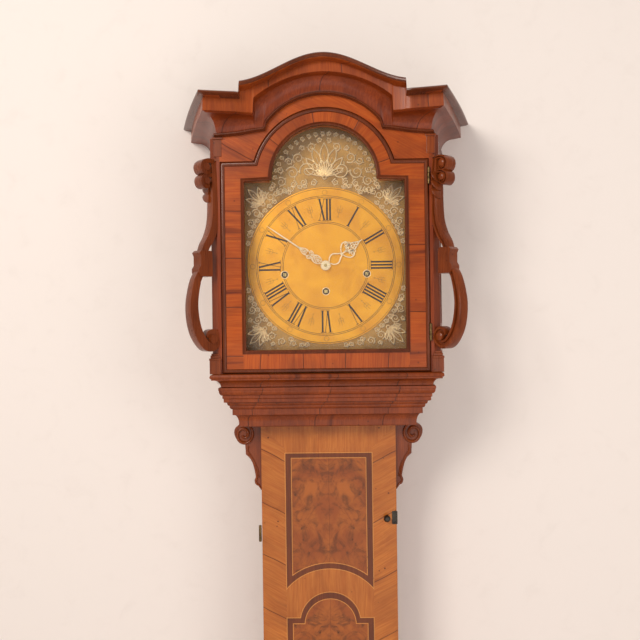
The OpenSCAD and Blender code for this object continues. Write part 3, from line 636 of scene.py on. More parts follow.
def tidy_mesh(mesh: bpy.types.Mesh) -> None:
    """Merge doubled points and turn every face outwards."""
    work = bmesh.new()
    work.from_mesh(mesh)
    bmesh.ops.remove_doubles(work, verts=work.verts, dist=1e-6)
    bmesh.ops.dissolve_degenerate(work, edges=work.edges, dist=1e-7)
    bmesh.ops.recalc_face_normals(work, faces=work.faces)
    work.to_mesh(mesh)
    work.free()


def arc(centre: Sequence[float], radius: float, start: float, stop: float, steps: int = 24) -> Array:
    """Return points of an arc between two angles in degrees, counted from the first axis."""
    angle = np.radians(np.linspace(start, stop, steps))
    return np.stack([centre[0] + radius * np.cos(angle), centre[1] + radius * np.sin(angle)], 1)


def ring(centre: Sequence[float], radius: float, steps: int = 96) -> Array:
    """Return a closed circle of points without a doubled end."""
    return arc(centre, radius, 0.0, 360.0 * (1 - 1 / steps), steps)


def half_round(width: float, height: float, steps: int = 9) -> Array:
    """Return the closed section of a half-round bead that sits on its plane."""
    angle = np.linspace(0, math.pi, steps)
    return np.stack([0.5 * width * np.cos(angle), height * np.sin(angle)], 1)


def flat_section(width: float, low: float, high: float) -> Array:
    """Return the closed section of a flat strip between two heights."""
    half = width / 2
    return np.array([[half, low], [half, high], [-half, high], [-half, low]])


def taper(steps: int, least: float = 0.35, power: float = 0.7) -> Array:
    """Return a width factor that is full in the middle and thin at both ends."""
    return least + (1 - least) * np.sin(np.linspace(0, math.pi, steps)) ** power


# ---------------------------------------------------------------- palette
class Palette:
    """Every finish of the clock, made once and shared."""

    def __init__(self) -> None:
        """Make the materials."""
        warm = dict(pale=(0.52, 0.105, 0.010), rich=(0.38, 0.056, 0.004), dark=(0.11, 0.014, 0.003))
        red = dict(pale=(0.30, 0.052, 0.008), rich=(0.19, 0.026, 0.004), dark=(0.055, 0.008, 0.003))
        tan = dict(pale=(0.60, 0.200, 0.034), rich=(0.45, 0.115, 0.015), dark=(0.20, 0.040, 0.006),
                   flecks=0.85)
        self.stile = Veneer("cross grain stile", **warm, grain=Grain.ACROSS, leaf=0.085, streak=0.9).make()
        self.far_stile = Veneer("cross grain right stile", **warm, grain=Grain.ACROSS, leaf=0.118, streak=0.9,
                                centre=(0.02, 0.0, 0.033)).make()
        self.rail = Veneer("cross grain rail", **warm, grain=Grain.UP, leaf=0.075, streak=0.9).make()
        arch_place = (0.0, 0.0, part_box("hood_door_arch_rail")[0][2])
        self.arch = Veneer("radial arch veneer", **warm, grain=Grain.RADIAL, leaf=0.08,
                           centre=arch_place).make()
        self.frieze = Veneer("frieze veneer", **warm, grain=Grain.RISING, leaf=0.2, streak=0.5).make()
        self.fascia = Veneer("cornice veneer", pale=(0.40, 0.080, 0.010), rich=(0.26, 0.040, 0.006),
                             dark=(0.08, 0.012, 0.004), grain=Grain.UP, leaf=0.13).make()
        self.moulding = Veneer("moulding veneer", **red, grain=Grain.UP, leaf=0.17, streak=0.6).make()
        self.throat = Veneer("throat veneer", pale=(0.32, 0.062, 0.008), rich=(0.20, 0.031, 0.004),
                             dark=(0.06, 0.009, 0.003), grain=Grain.UP, leaf=0.12, streak=0.85).make()
        self.carving = Veneer("carved walnut", pale=(0.30, 0.062, 0.012), rich=(0.185, 0.034, 0.007),
                              dark=(0.060, 0.011, 0.003), grain=Grain.UP, leaf=0.9, gloss=0.24).make()
        self.bead = Veneer("dark bead", pale=(0.20, 0.045, 0.012), rich=(0.120, 0.024, 0.008),
                           dark=(0.040, 0.009, 0.004), grain=Grain.UP, leaf=0.9, gloss=0.2).make()
        self.side = Veneer("side veneer", **red, grain=Grain.UP, leaf=0.2).make()
        self.rising = Veneer("rising border veneer", **tan, grain=Grain.RISING, leaf=0.085, streak=0.6).make()
        self.falling = Veneer("falling border veneer", **tan, grain=Grain.FALLING, leaf=0.097,
                              streak=0.6).make()
        self.upright = Veneer("upright border veneer", **tan, grain=Grain.UP, leaf=0.9, streak=0.3).make()
        self.band = Veneer("dark inlay band", pale=(0.22, 0.050, 0.009), rich=(0.140, 0.028, 0.005),
                           dark=(0.07, 0.018, 0.008), grain=Grain.UP, leaf=0.9, streak=0.3).make()
        self.string = Veneer("pale stringing", pale=(0.72, 0.28, 0.06), rich=(0.60, 0.21, 0.04),
                             dark=(0.36, 0.15, 0.04), grain=Grain.UP, leaf=0.9, streak=0.1).make()
        self.burl = Burl("matched burl", (0.40, 0.105, 0.014), (0.28, 0.062, 0.009),
                         (0.085, 0.024, 0.006)).make()
        self.inside = PlainWood("plain boards", (0.36, 0.22, 0.11), (0.20, 0.11, 0.05)).make()
        self.glass = Pane("old window glass").make()
        self.brass = Metal("worked brass", (0.80, 0.60, 0.24), (0.40, 0.25, 0.08), rough=0.26).make()
        self.old_brass = Metal("aged brass", (0.24, 0.15, 0.06), (0.08, 0.045, 0.02), rough=0.38,
                               tarnish=0.8).make()
        self.gilt = Metal("pale gilt casting", (0.95, 0.77, 0.48), (0.72, 0.49, 0.22), rough=0.30,
                          pits=0.00015, pit_scale=260.0, tarnish=0.35, metallic=0.45).make()
        self.ground = Metal("matted ground", (0.42, 0.225, 0.055), (0.20, 0.100, 0.024), rough=0.5,
                            pits=0.0004, pit_scale=520.0, tarnish=0.7).make()
        self.bell = Metal("bell metal", (0.75, 0.58, 0.30), (0.42, 0.29, 0.13), rough=0.22).make()
        self.steel = Metal("bright steel", (0.55, 0.55, 0.56), (0.30, 0.29, 0.28), rough=0.28).make()
        self.iron = Metal("blackened iron", (0.075, 0.065, 0.055), (0.03, 0.022, 0.018), rough=0.42,
                          pits=0.0003, pit_scale=200.0, tarnish=0.7).make()
        self.gut = Fibre("gut line").make()
        self.ink = Ink("engraving wax", (0.030, 0.015, 0.008), (0.16, 0.08, 0.02)).make()
        self.etching = Ink("fine etching", (0.26, 0.12, 0.02), (0.50, 0.25, 0.04)).make()
        low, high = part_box("dial_disc")
        self.dial = GiltDial("gilt disc", tuple(0.5 * (a + b) for a, b in zip(low, high))).make()


NODE_FINISH = {
    "stile": ("hood_door_left_stile",),
    "far_stile": ("hood_door_right_stile",),
    "rail": ("hood_door_bottom_rail",),
    "arch": ("hood_door_arch_rail",),
    "frieze": ("frieze",),
    "side": ("hood_left_side", "hood_right_side", "trunk_left_side", "trunk_right_side", "base_left_side",
             "base_right_side"),
    "upright": ("trunk_door", "trunk_bottom_rail", "base_front"),
    "inside": ("backboard", "seat_board", "hood_top"),
    "glass": ("hood_left_glass", "hood_right_glass", "hood_door_glass"),
    "brass": ("front_plate", "back_plate", "hour_wheel", "minute_wheel", "great_wheel", "centre_wheel",
              "third_wheel", "escape_wheel", "strike_barrel", "going_barrel", "chime_barrel"),
    "ground": ("dial_plate",),
    "dial": ("dial_disc",),
    "steel": ("anchor", "hammer"),
    "gut": ("strike_line", "going_line", "chime_line"),
    "bell": ("bell",),
}


def dress_nodes(frame: dict, palette: Palette) -> None:
    """Give every node that stays in view its finish."""
    for finish, nodes in NODE_FINISH.items():
        for name in nodes:
            node = frame["nodes"][name]
            node.data.materials.clear()
            node.data.materials.append(getattr(palette, finish))


# ---------------------------------------------------------------- outlines shared by several parts
def mirrored(points: Array) -> Array:
    """Return a path mirrored left to right."""
    return points * np.array([-1.0, 1.0])


def door_path(half: float, low: float, shoulder: float, centre: float, radius: float,
              spring: float) -> Array:
    """Return the closed outline of an arched door or opening, counter-clockwise from its lower left.

    Args:
        half: half its width.
        low: height of its bottom.
        shoulder: height of its shoulders.
        centre: height of the arch's centre.
        radius: radius of the arch.
        spring: height at which the arch leaves the shoulder.
    """
    first = math.degrees(math.asin(min(1.0, max(-1.0, (spring - centre) / radius))))
    curve = arc((0.0, centre), radius, first, 180.0 - first, 48)
    return np.concatenate([[[-half, low], [half, low], [half, shoulder]], curve, [[-half, shoulder]]])


@dataclass
class Mouldings:
    """The mouldings that run round the front and two sides of the case.

    Attributes:
        palette: the finishes.
    """

    palette: Palette

    def __post_init__(self) -> None:
        """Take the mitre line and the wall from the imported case."""
        low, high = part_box("trunk_door")
        self.trunk_half = high[0]
        self.front = low[1] - 3.8 * MM
        self.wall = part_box("backboard")[0][1]

    @staticmethod
    def rounds(profile: Sequence[tuple]) -> Array:
        """Return a profile with its curved steps worked out.

        Each entry is (half width, height, shape): a straight line, a hollow quarter or a round quarter
        from the entry before. A hollow rises steeply first, a round rises late.
        """
        points = [np.array([profile[0][:2]], float)]
        for (x0, z0, _), (x1, z1, shape) in zip(profile, profile[1:]):
            t = np.linspace(0, math.pi / 2, 2 if shape == "line" else 12)[1:]
            if shape == "hollow":
                share = np.stack([1 - np.cos(t), np.sin(t)], 1)
            elif shape == "round":
                share = np.stack([np.sin(t), 1 - np.cos(t)], 1)
            else:
                share = np.array([[1.0, 1.0]])
            points.append(np.array([x0, z0]) + share * np.array([x1 - x0, z1 - z0]))
        return np.concatenate(points)

    def run(self, name: str, node: str, profile: Sequence[tuple], finish: bpy.types.Material,
            body: str, back: float) -> None:
        """Carry one profile round the front and both sides, with mitred corners.

        Args:
            name: the piece's name.
            node: the node that it stands for.
            profile: entries for rounds(), in millimetres past the trunk and above the node's bottom.
            finish: its material.
            body: the body that it rides on.
            back: the place of its ends along Y.
        """
        low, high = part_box(node)
        shape = self.rounds(profile) * MM
        half = shape[:, 0] + self.trunk_half
        height = shape[:, 1] + low[2]
        front = self.front - shape[:, 0]
        inner = np.full(2, self.trunk_half - 16 * MM)
        half = np.concatenate([half, inner])
        height = np.concatenate([height, [high[2], low[2]]])
        front = np.concatenate([front, np.full(2, self.front + 24 * MM)])
        back_line = np.full_like(half, back)
        columns = [np.stack([-half, back_line, height], 1), np.stack([-half, front, height], 1),
                   np.stack([half, front, height], 1), np.stack([half, back_line, height], 1)]
        shell = Shell()
        spread = []
        for first, last, count in ((0, 1, 6), (1, 2, 16), (2, 3, 6)):
            t = np.linspace(0, 1, count)[:, None, None]
            spread.append(columns[first] * (1 - t) + columns[last] * t)
        shell.grid(np.concatenate(spread), False, True, True)
        shell.piece(name, finish, body, "moulding_wood", node)

    def build(self) -> None:
        """Make the plinth, the base cap, the throat and the hood's base moulding."""
        wall = self.wall
        top, tall, deep, rise = (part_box(node)[1][2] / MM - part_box(node)[0][2] / MM
                                 for node in ("throat_moulding", "hood_base", "base_cap", "plinth"))
        self.run("throat_mould", "throat_moulding", [
            (33.5, 0, "line"), (35.5, 0.02 * top, "line"), (35.5, 0.076 * top, "line"),
            (43.8, 0.31 * top, "hollow"), (45.8, 0.31 * top, "line"), (45.8, 0.456 * top, "line"),
            (50.3, 0.53 * top, "round"), (50.3, 0.545 * top, "line"), (54.2, 0.62 * top, "round"),
            (59.5, 0.64 * top, "line"), (59.5, 0.72 * top, "line"), (61.5, 0.74 * top, "line"),
            (61.5, 0.81 * top, "line"), (67.0, 0.93 * top, "round"), (67.7, 0.94 * top, "line"),
            (67.7, top, "line")], self.palette.throat, "case", wall)
        self.run("hood_lip", "hood_base", [
            (62.0, 0, "line"), (63.5, 1.2, "line"), (75.5, 0.55 * tall, "hollow"), (78.5, 0.56 * tall, "line"),
            (78.5, 0.66 * tall, "line"), (81.2, 0.80 * tall, "round"), (80.2, 0.93 * tall, "line"),
            (76.0, tall, "line")], self.palette.throat, "hood", wall - 0.3 * MM)
        self.run("base_cap_mould", "base_cap", [
            (68.5, 0, "line"), (74.0, 6, "round"), (78.5, 12, "hollow"), (78.5, 20, "line"), (72.0, 24, "line"),
            (66.5, 25, "line"), (12.0, deep - 14, "hollow"), (9.0, deep - 12, "line"), (9.0, deep - 7, "line"),
            (5.0, deep - 6, "line"), (5.0, deep, "line")], self.palette.throat, "case", wall)
        self.run("plinth_mould", "plinth", [
            (81.5, 0, "line"), (81.5, rise - 16, "line"), (79.5, rise - 14, "line"), (79.0, rise - 12, "line"),
            (67.5, rise, "round")], self.palette.moulding, "case", wall)


@dataclass
class Cornice:
    """The arched cornice: lip, fascia, cove and bead, carried over the front and back to the wall."""

    palette: Palette
    step_x: float = 142 * MM
    wave_x: float = 165 * MM
    step_rise: float = 16.2 * MM
    bead_spring: float = 101 * MM
    cove_spring: float = 120 * MM

    def __post_init__(self) -> None:
        """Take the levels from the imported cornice."""
        low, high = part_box("cornice")
        self.low, self.crown = low[2], high[2]
        self.wall, self.lip_y, self.out = high[1], low[1], high[0]
        self.lip = self.crown - 71.2 * MM
        self.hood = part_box("frieze")[0][1]

    def wave(self, x: Array, level: float, drop: float) -> Array:
        """Return the height of the ogee top: a step, then a raised cosine up to the crown."""
        wave = self.crown - self.lip - self.step_rise
        over = level + self.step_rise + wave * (1 + np.cos(math.pi * x / self.wave_x)) / 2 - drop
        inside = smooth(np.abs(x), self.step_x + 0.6 * MM, self.step_x - 0.6 * MM)
        return level + (over - level) * inside

    def arch(self, x: Array, level: float, crown: float, spring: float, soft: float) -> Array:
        """Return the height of a round arch that leaves a level at its springing.

        Args:
            x: places across the front.
            level: height at the shoulders.
            crown: height at the middle.
            spring: half width of the arch.
            soft: height of a small vertical start, for a stepped member.
        """
        rise = crown - level - soft
        radius = (spring * spring + rise * rise) / (2 * rise)
        inside = np.clip(radius * radius - x * x, 0, None)
        height = level + np.maximum(np.sqrt(inside) - (radius - rise), 0.0)
        step = soft * smooth(np.abs(x), spring + 1.0 * MM, spring - 1.0 * MM)
        return height + step

    def levels(self, x: Array) -> tuple[Array, Array, Array, Array]:
        """Return the bead's underside, its top, the fascia's foot, and how far the lip rises to the corners."""
        far = np.abs(x) / (self.bead_spring + 82 * MM)
        sag = 10 * MM * smooth(far, 1.0, 0.5)
        bead0 = self.arch(x, self.low, self.low + 60.9 * MM, self.bead_spring, 10 * MM) + sag
        bead1 = self.arch(x, self.low + 6.4 * MM, self.low + 65.6 * MM, self.bead_spring + 2 * MM,
                          10 * MM) + sag
        lift = 5 * MM * np.clip(far, 0, 1) ** 4
        face0 = self.arch(x, self.lip - 31 * MM, self.lip + 41 * MM, self.cove_spring, 25 * MM) + lift
        return bead0, bead1, face0, lift

    def members(self, x: Array) -> list[tuple[Array, float, float, float, float]]:
        """Return the rows from the bead's underside up to the back of the lip.

        Each is (height along the front, corner half width, half width at the wall, Y at the corners,
        Y in the middle).
        """
        hood, corner = self.hood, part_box("hood_right_side")[0][0]
        flare = self.out - 59 * MM
        bead0, bead1, face0, lift = self.levels(x)
        rows = [(bead0, corner - 0.5 * MM, flare - 6 * MM, hood - 0.5 * MM, hood - 0.5 * MM)]
        for angle in np.radians(np.linspace(-80, 80, 6)):
            level = bead0 + (bead1 - bead0) * (0.5 + 0.5 * math.sin(angle))
            out = 7 * MM * math.cos(angle)
            rows.append((level, corner + 2 * MM + out, flare + out, hood - 4 * MM - out, hood - 4 * MM - out))
        for t in np.radians(np.linspace(4, 90, 12)):
            share = 1 - math.cos(t)
            level = bead1 + (face0 - 3 * MM - bead1) * math.sin(t)
            rows.append((level, corner + (5 + 13 * share) * MM, flare + (3 + 26 * share) * MM,
                         hood - (6 + 34 * share) * MM, hood - (6 + 13 * share) * MM))
        rows.append((face0 - 1.0 * MM, corner + 20.5 * MM, flare + 39 * MM, hood - 43 * MM, hood - 22 * MM))
        rows.append((face0, corner + 22.5 * MM, flare + 44 * MM, hood - 45 * MM, hood - 24 * MM))
        under = self.wave(x, self.lip - 7.6 * MM, 4.0 * MM) + lift
        face1 = face0 + (under - face0) * 0.93
        rows.append((face1, corner + 21.5 * MM, flare + 43 * MM, hood - 44.5 * MM, hood - 23.5 * MM))
        top = self.wave(x, self.lip, 0.0) + lift
        for t in np.radians(np.linspace(-90, 90, 8)):
            level = under + (top - under) * (0.5 + 0.5 * math.sin(t))
            grow = 0.55 + 0.45 * math.cos(t)
            rows.append((level, corner + (20 + 6.5 * grow) * MM, flare + (40 + 18.8 * grow) * MM,
                         hood - (43 + 24.8 * grow) * MM, hood - (23 + 18.5 * grow) * MM))
        back = hood + 18 * MM
        rows.append((top - 1.5 * MM, corner - 4 * MM, flare - 30 * MM, back, back))
        rows.append((bead0, corner - 4 * MM, flare - 30 * MM, back, back))
        return rows

    def build(self) -> None:
        """Make the cornice as one closed shell: rows of members, columns along the front and returns."""
        half = self.bead_spring + 74 * MM
        keys = np.array([self.step_x, self.cove_spring])
        near = np.concatenate([keys + d * MM for d in (-1.2, -0.7, -0.3, 0.0, 0.3, 0.7, 1.2)])
        x = np.unique(np.concatenate([np.linspace(-half, half, 181), near, -near]))
        share = np.abs(x) / half
        grid = []
        for height, corner, wall_x, y_corner, y_middle in self.members(x):
            pivot = 150 * MM
            beyond = np.clip(np.abs(x) - pivot, 0, None) * (corner - pivot) / (half - pivot)
            front_x = np.sign(x) * (np.minimum(np.abs(x), pivot) + beyond)
            front = np.stack([front_x, y_middle + (y_corner - y_middle) * share ** 2.4, height], 1)
            t = np.linspace(0, 1, 14)[1:]
            bow = t + 0.035 * np.sin(math.pi * t)
            side = np.stack([corner + (wall_x - corner) * bow, y_corner + (self.wall - y_corner) * t,
                             np.full_like(t, height[-1])], 1)
            left = side[::-1] * np.array([-1, 1, 1])
            grid.append(np.concatenate([left, front, side]))
        shell = Shell()
        shell.grid(np.stack(grid, 1), False, True, True)
        made = shell.piece("cornice_mould", self.palette.fascia, "hood", "cornice_wood", "cornice", sharp=28)
        for finish in (self.palette.bead, self.palette.moulding):
            made.data.materials.append(finish)
        self.paint(made.data)
        self.frieze()

    def frieze(self) -> None:
        """Lay the frieze's veneer between the hood door's arch and the bead."""
        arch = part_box("hood_door_arch_rail")
        radius, gap = DOOR_RADIUS, 1.6 * MM
        centre = arch[1][2] - radius
        half = arch[1][0] + 1.5 * MM
        spring = math.sqrt((radius + gap) ** 2 - (radius - DOOR_SHOULDER + gap) ** 2)
        x = np.unique(np.concatenate([np.linspace(-half, half, 121), np.array([-1, 1]) * (spring + 0.01 * MM),
                                      np.array([-1, 1]) * (self.bead_spring + 0.8 * MM)]))
        over = centre + np.sqrt(np.clip((radius + gap) ** 2 - x * x, 0, None))
        low = np.where(np.abs(x) < spring, over, centre + radius - DOOR_SHOULDER + gap)
        high = self.levels(x)[0] + 2.5 * MM
        shell = Shell()
        plane = Plane((0.0, self.hood, 0.0))
        rows = [plane.lift(x, level, out) for level, out in
                ((low, -0.3 * MM), (low, 0.4 * MM), (high, 0.4 * MM), (high, -0.3 * MM))]
        shell.grid(np.stack(rows, 1), False, True, True)
        shell.piece("frieze_veneer", self.palette.frieze, "hood", "hood_wood", flat=True)

    def paint(self, mesh: bpy.types.Mesh) -> None:
        """Give the bead and the lip their darker finishes by how far each face stands out."""
        count = len(mesh.polygons)
        centre = np.empty(count * 3)
        normal = np.empty(count * 3)
        mesh.polygons.foreach_get("center", centre)
        mesh.polygons.foreach_get("normal", normal)
        centre, normal = centre.reshape(-1, 3), normal.reshape(-1, 3)
        low, _, cove, lift = self.levels(centre[:, 0])
        top = self.wave(centre[:, 0], self.lip, 0.0) + lift
        index = np.zeros(count, np.int32)
        index[(centre[:, 2] < cove - 0.5 * MM) & (centre[:, 2] > low + 6 * MM)] = 2
        index[centre[:, 2] > top - 9.5 * MM] = 1
        index[centre[:, 2] < low + 6.6 * MM] = 1
        mesh.polygons.foreach_set("material_index", index)


def smooth(value: Array, start: float, stop: float) -> Array:
    """Return a smooth step that is 0 at start and 1 at stop."""
    t = np.clip((value - start) / (stop - start), 0, 1)
    return t * t * (3 - 2 * t)


# ---------------------------------------------------------------- carved and applied woodwork
@dataclass
class Scroll:
    """One carved scroll that stands at a front corner of the hood in place of a column."""

    palette: Palette
    side: float

    def __post_init__(self) -> None:
        """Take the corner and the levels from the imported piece."""
        self.node = "scroll_right" if self.side > 0 else "scroll_left"
        low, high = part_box(self.node)
        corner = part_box("hood_right_side")[0]
        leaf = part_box("hood_door_arch_rail")[1][0] + 1.2 * MM
        out = math.sqrt(0.5)
        self.base, self.top = low[2], high[2]
        start = (self.side * (leaf + 12 * MM), corner[1] + 6 * MM, self.base)
        self.plane = Plane(start, (self.side * out, -out, 0.0), (0.0, 0.0, 1.0))

    def rib(self, shell: Shell, points: Sequence[tuple], width: float, depth: float,
            section: Array | None = None, least: float = 0.5) -> None:
        """Add one curved member along a smooth line through a few points in millimetres."""
        path = spline(np.array(points, float) * MM)
        shape = half_round(1.0, 1.0) if section is None else section
        span = taper(len(path), least)
        shell.sweep(self.plane, path, shape * np.array([width * MM, depth * MM]), span, span)

    def build(self) -> None:
        """Make the scroll: two rolls and a leaf above, a block, a C-scroll, a volute and the base."""
        shell = Shell()
        both = np.array([[0.5, -0.5], [0.5, 0.28], [0.36, 0.5], [0.16, 0.5], [0.10, 0.30], [-0.10, 0.30],
                         [-0.16, 0.5], [-0.36, 0.5], [-0.5, 0.28], [-0.5, -0.5]])
        self.rib(shell, [(4, 372), (3, 350), (2, 320), (2, 288), (5, 262), (13, 240), (23, 224), (29, 208)],
                 15, 20, both, 0.8)
        self.rib(shell, [(3, 374), (9, 373), (18, 373), (28, 369), (31, 361), (27, 353), (19, 353), (16, 359),
                         (20, 364)], 9, 24, both, 0.6)
        self.rib(shell, [(3, 351), (9, 349), (20, 348), (29, 343), (30, 334), (25, 328), (18, 330), (17, 336)],
                 8, 22, both, 0.6)
        for level in (338, 324, 310):
            self.rib(shell, [(3, level + 12), (8, level + 5), (11, level - 8)], 5, 22, least=0.3)
        self.rib(shell, [(31, 182), (42, 165), (49, 138), (51, 115), (48, 90), (40, 68), (26, 51), (12, 50),
                         (4, 60), (8, 71), (17, 71), (18, 64)], 17, 21, both, 0.7)
        block = np.array([(12, 171), (38, 171), (41, 178), (41, 184), (37, 190), (37, 206), (40, 212),
                          (36, 216), (14, 216), (12, 206)]) * MM
        shell.plate(self.plane, block, -11 * MM, 11 * MM)
        for place, radius in (((23, 362), 6.5), ((22, 338), 6.0), ((13, 62), 7.5)):
            centre = self.plane.lift(np.array(place[0] * MM), np.array(place[1] * MM), 0.0)
            bead = np.array([[0.0, -13], [radius, -13], [radius, 13], [0.6 * radius, 15], [0.0, 15]]) * MM
            self.pin(shell, centre, bead)
        shell.piece(f"carved_{self.node}", self.palette.carving, "hood", "scroll_wood", self.node, sharp=40)
        self.blocks()

    def pin(self, shell: Shell, centre: Array, profile: Array, steps: int = 28) -> None:
        """Add a short turned boss whose axis runs out of the scroll's plane."""
        angle = np.linspace(0, 2 * math.pi, steps, endpoint=False)
        a, b = np.array(self.plane.a), np.array(self.plane.b)
        out = np.cross(a, b)
        points = (centre + profile[:, 0, None, None] * (np.cos(angle)[None, :, None] * a
                                                        + np.sin(angle)[None, :, None] * b)
                  + profile[:, 1, None, None] * out)
        shell.grid(points, False, True)

    def blocks(self) -> None:
        """Make the square base block with its ledge, and the capital block with its ringed neck."""
        shell = Shell()
        corner_x, corner_y = self.plane.origin[:2]
        reach = 8.2 * MM
        for low, high, grow in ((0, 24, 1.5), (24, 28, 2.2), (28, 33, 0.0), (33, 36.5, -1.5)):
            shell.plate(*self.square(corner_x, corner_y, reach + grow * MM), self.base + low * MM,
                        self.base + high * MM)
        for low, high, grow in ((-41.5, -37, -1.0), (-37, -34, -3.0), (-34, -4, 0.0), (-4, 0, 2.0)):
            inward = corner_x - self.side * 8.5 * MM
            shell.plate(*self.square(inward, corner_y, reach + (grow - 1) * MM),
                        self.top + low * MM, self.top + high * MM)
        shell.piece(f"blocks_{self.node}", self.palette.carving, "hood", "scroll_wood", bevel=0.0006, flat=True)

    def square(self, x: float, y: float, half: float) -> tuple[Plane, Array]:
        """Return a level plane and a square outline around the corner post."""
        outline = np.array([[-half, -half], [half, -half], [half, half], [-half, half]])
        return Plane((x, y, 0.0), (1.0, 0.0, 0.0), (0.0, 1.0, 0.0)), outline


def spline(points: Array, steps: int = 9) -> Array:
    """Return a smooth curve that passes through the points."""
    before = np.vstack([2 * points[:1] - points[1:2], points[:-1]])
    after = np.vstack([points[1:], 2 * points[-1:] - points[-2:-1]])
    t = np.linspace(0, 1, steps, endpoint=False)[:, None, None]
    p0, p1, p2 = before[:-1], points[:-1], points[1:]
    p3 = after[1:]
    curve = 0.5 * (2 * p1 + (p2 - p0) * t + (2 * p0 - 5 * p1 + 4 * p2 - p3) * t ** 2
                   + (3 * p1 - p0 - 3 * p2 + p3) * t ** 3)
    return np.concatenate([curve.transpose(1, 0, 2).reshape(-1, 2), points[-1:]])


@dataclass
class Corbel:
    """A carved bracket under the hood at one side of the trunk's front."""

    palette: Palette
    side: float

    def build(self) -> None:
        """Make the bracket: a round scroll above, an S curve down to a point, and ribs on its face."""
        node = "corbel_right" if self.side > 0 else "corbel_left"
        low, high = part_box(node)
        inner = low[0] if self.side > 0 else high[0]
        top, deep = high[2], high[1] - low[1]
        plane = Plane((inner, 0.5 * (low[1] + high[1]), top), (self.side * 1.0, 0.0, 0.0), (0.0, 0.0, 1.0))
        shell = Shell()
        edge = spline(np.array([[30, 0], [40, -1], [48, -7], [50, -16], [47, -26], [40, -34], [30, -38]]) * MM)
        tail = spline(np.array([[29, -56], [21, -64], [15, -77], [11.5, -90], [10.5, -98], [13, -104],
                                [11, -110], [6, -113], [0, -121]]) * MM)
        outline = np.concatenate([[[0, 0]], edge, tail])
        half = 0.42 * deep
        shell.plate(plane, outline, -half, half)
        steps = np.linspace(0, 1, 60)[:, None]
        turn = 3.3 * math.pi * steps + 0.5 * math.pi
        reach = (17.0 * (1 - steps) ** 0.8 + 3.0) * MM
        round_it = np.concatenate([0.9 * reach * np.cos(turn), reach * np.sin(turn)], 1)
        coil = np.array([32, -19]) * MM + round_it
        rib = half_round(1.0, 1.0)
        for face in (1, -1):
            vein = spline(np.array([[24, -40], [25, -50], [18, -62], [9, -80], [5, -98]]) * MM)
            for path, width, height in ((coil[::-1], 6.5, 5.0), (tail * np.array([0.86, 1.0]), 5.0, 3.5),
                                        (vein, 4.0, 3.0)):
                section = rib * np.array([width, height * face]) * MM + np.array([0, face * half])
                shell.sweep(plane, path, section, taper(len(path), 0.6))
        shell.piece(f"carved_{node}", self.palette.carving, "case", "scroll_wood", node, bevel=0.0006)


@dataclass
class HoodDoor:
    """The hood door's dark outer bead and its inner bead round the glass."""

    palette: Palette

    def build(self) -> None:
        """Sweep both beads along the arched outlines, on the door's face."""
        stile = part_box("hood_door_left_stile")
        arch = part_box("hood_door_arch_rail")
        face = stile[0][1]
        plane = Plane((0.0, face, 0.0))
        half = -stile[0][0]
        low, crown = stile[0][2], arch[1][2]
        shoulder = crown - DOOR_SHOULDER
        radius = DOOR_RADIUS
        outer = door_path(half - 3.6 * MM, low + 3.6 * MM, shoulder - 3.6 * MM, crown - radius,
                          radius - 3.6 * MM, shoulder - 3.6 * MM)
        shell = Shell()
        shell.sweep(plane, outer, half_round(7.2 * MM, 3.0 * MM), closed=True)
        shell.piece("door_outer_bead", self.palette.bead, "hood_door", "moulding_wood")
        inner_half = -stile[1][0] - 2.0 * MM
        spring = arch[0][2]
        inner = door_path(inner_half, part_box("hood_door_bottom_rail")[1][2] + 1.5 * MM, spring + 2 * MM,
                          spring + 4 * MM, 95 * MM, spring + 4 * MM)
        shell = Shell()
        section = np.array([[3.4, -3.0], [3.4, 2.0], [2.4, 3.6], [0.4, 3.9], [-1.4, 2.4], [-3.4, 1.4],
                            [-3.4, -3.0]])
        shell.sweep(plane, inner, section * MM, closed=True)
        shell.piece("door_inner_bead", self.palette.bead, "hood_door", "moulding_wood")


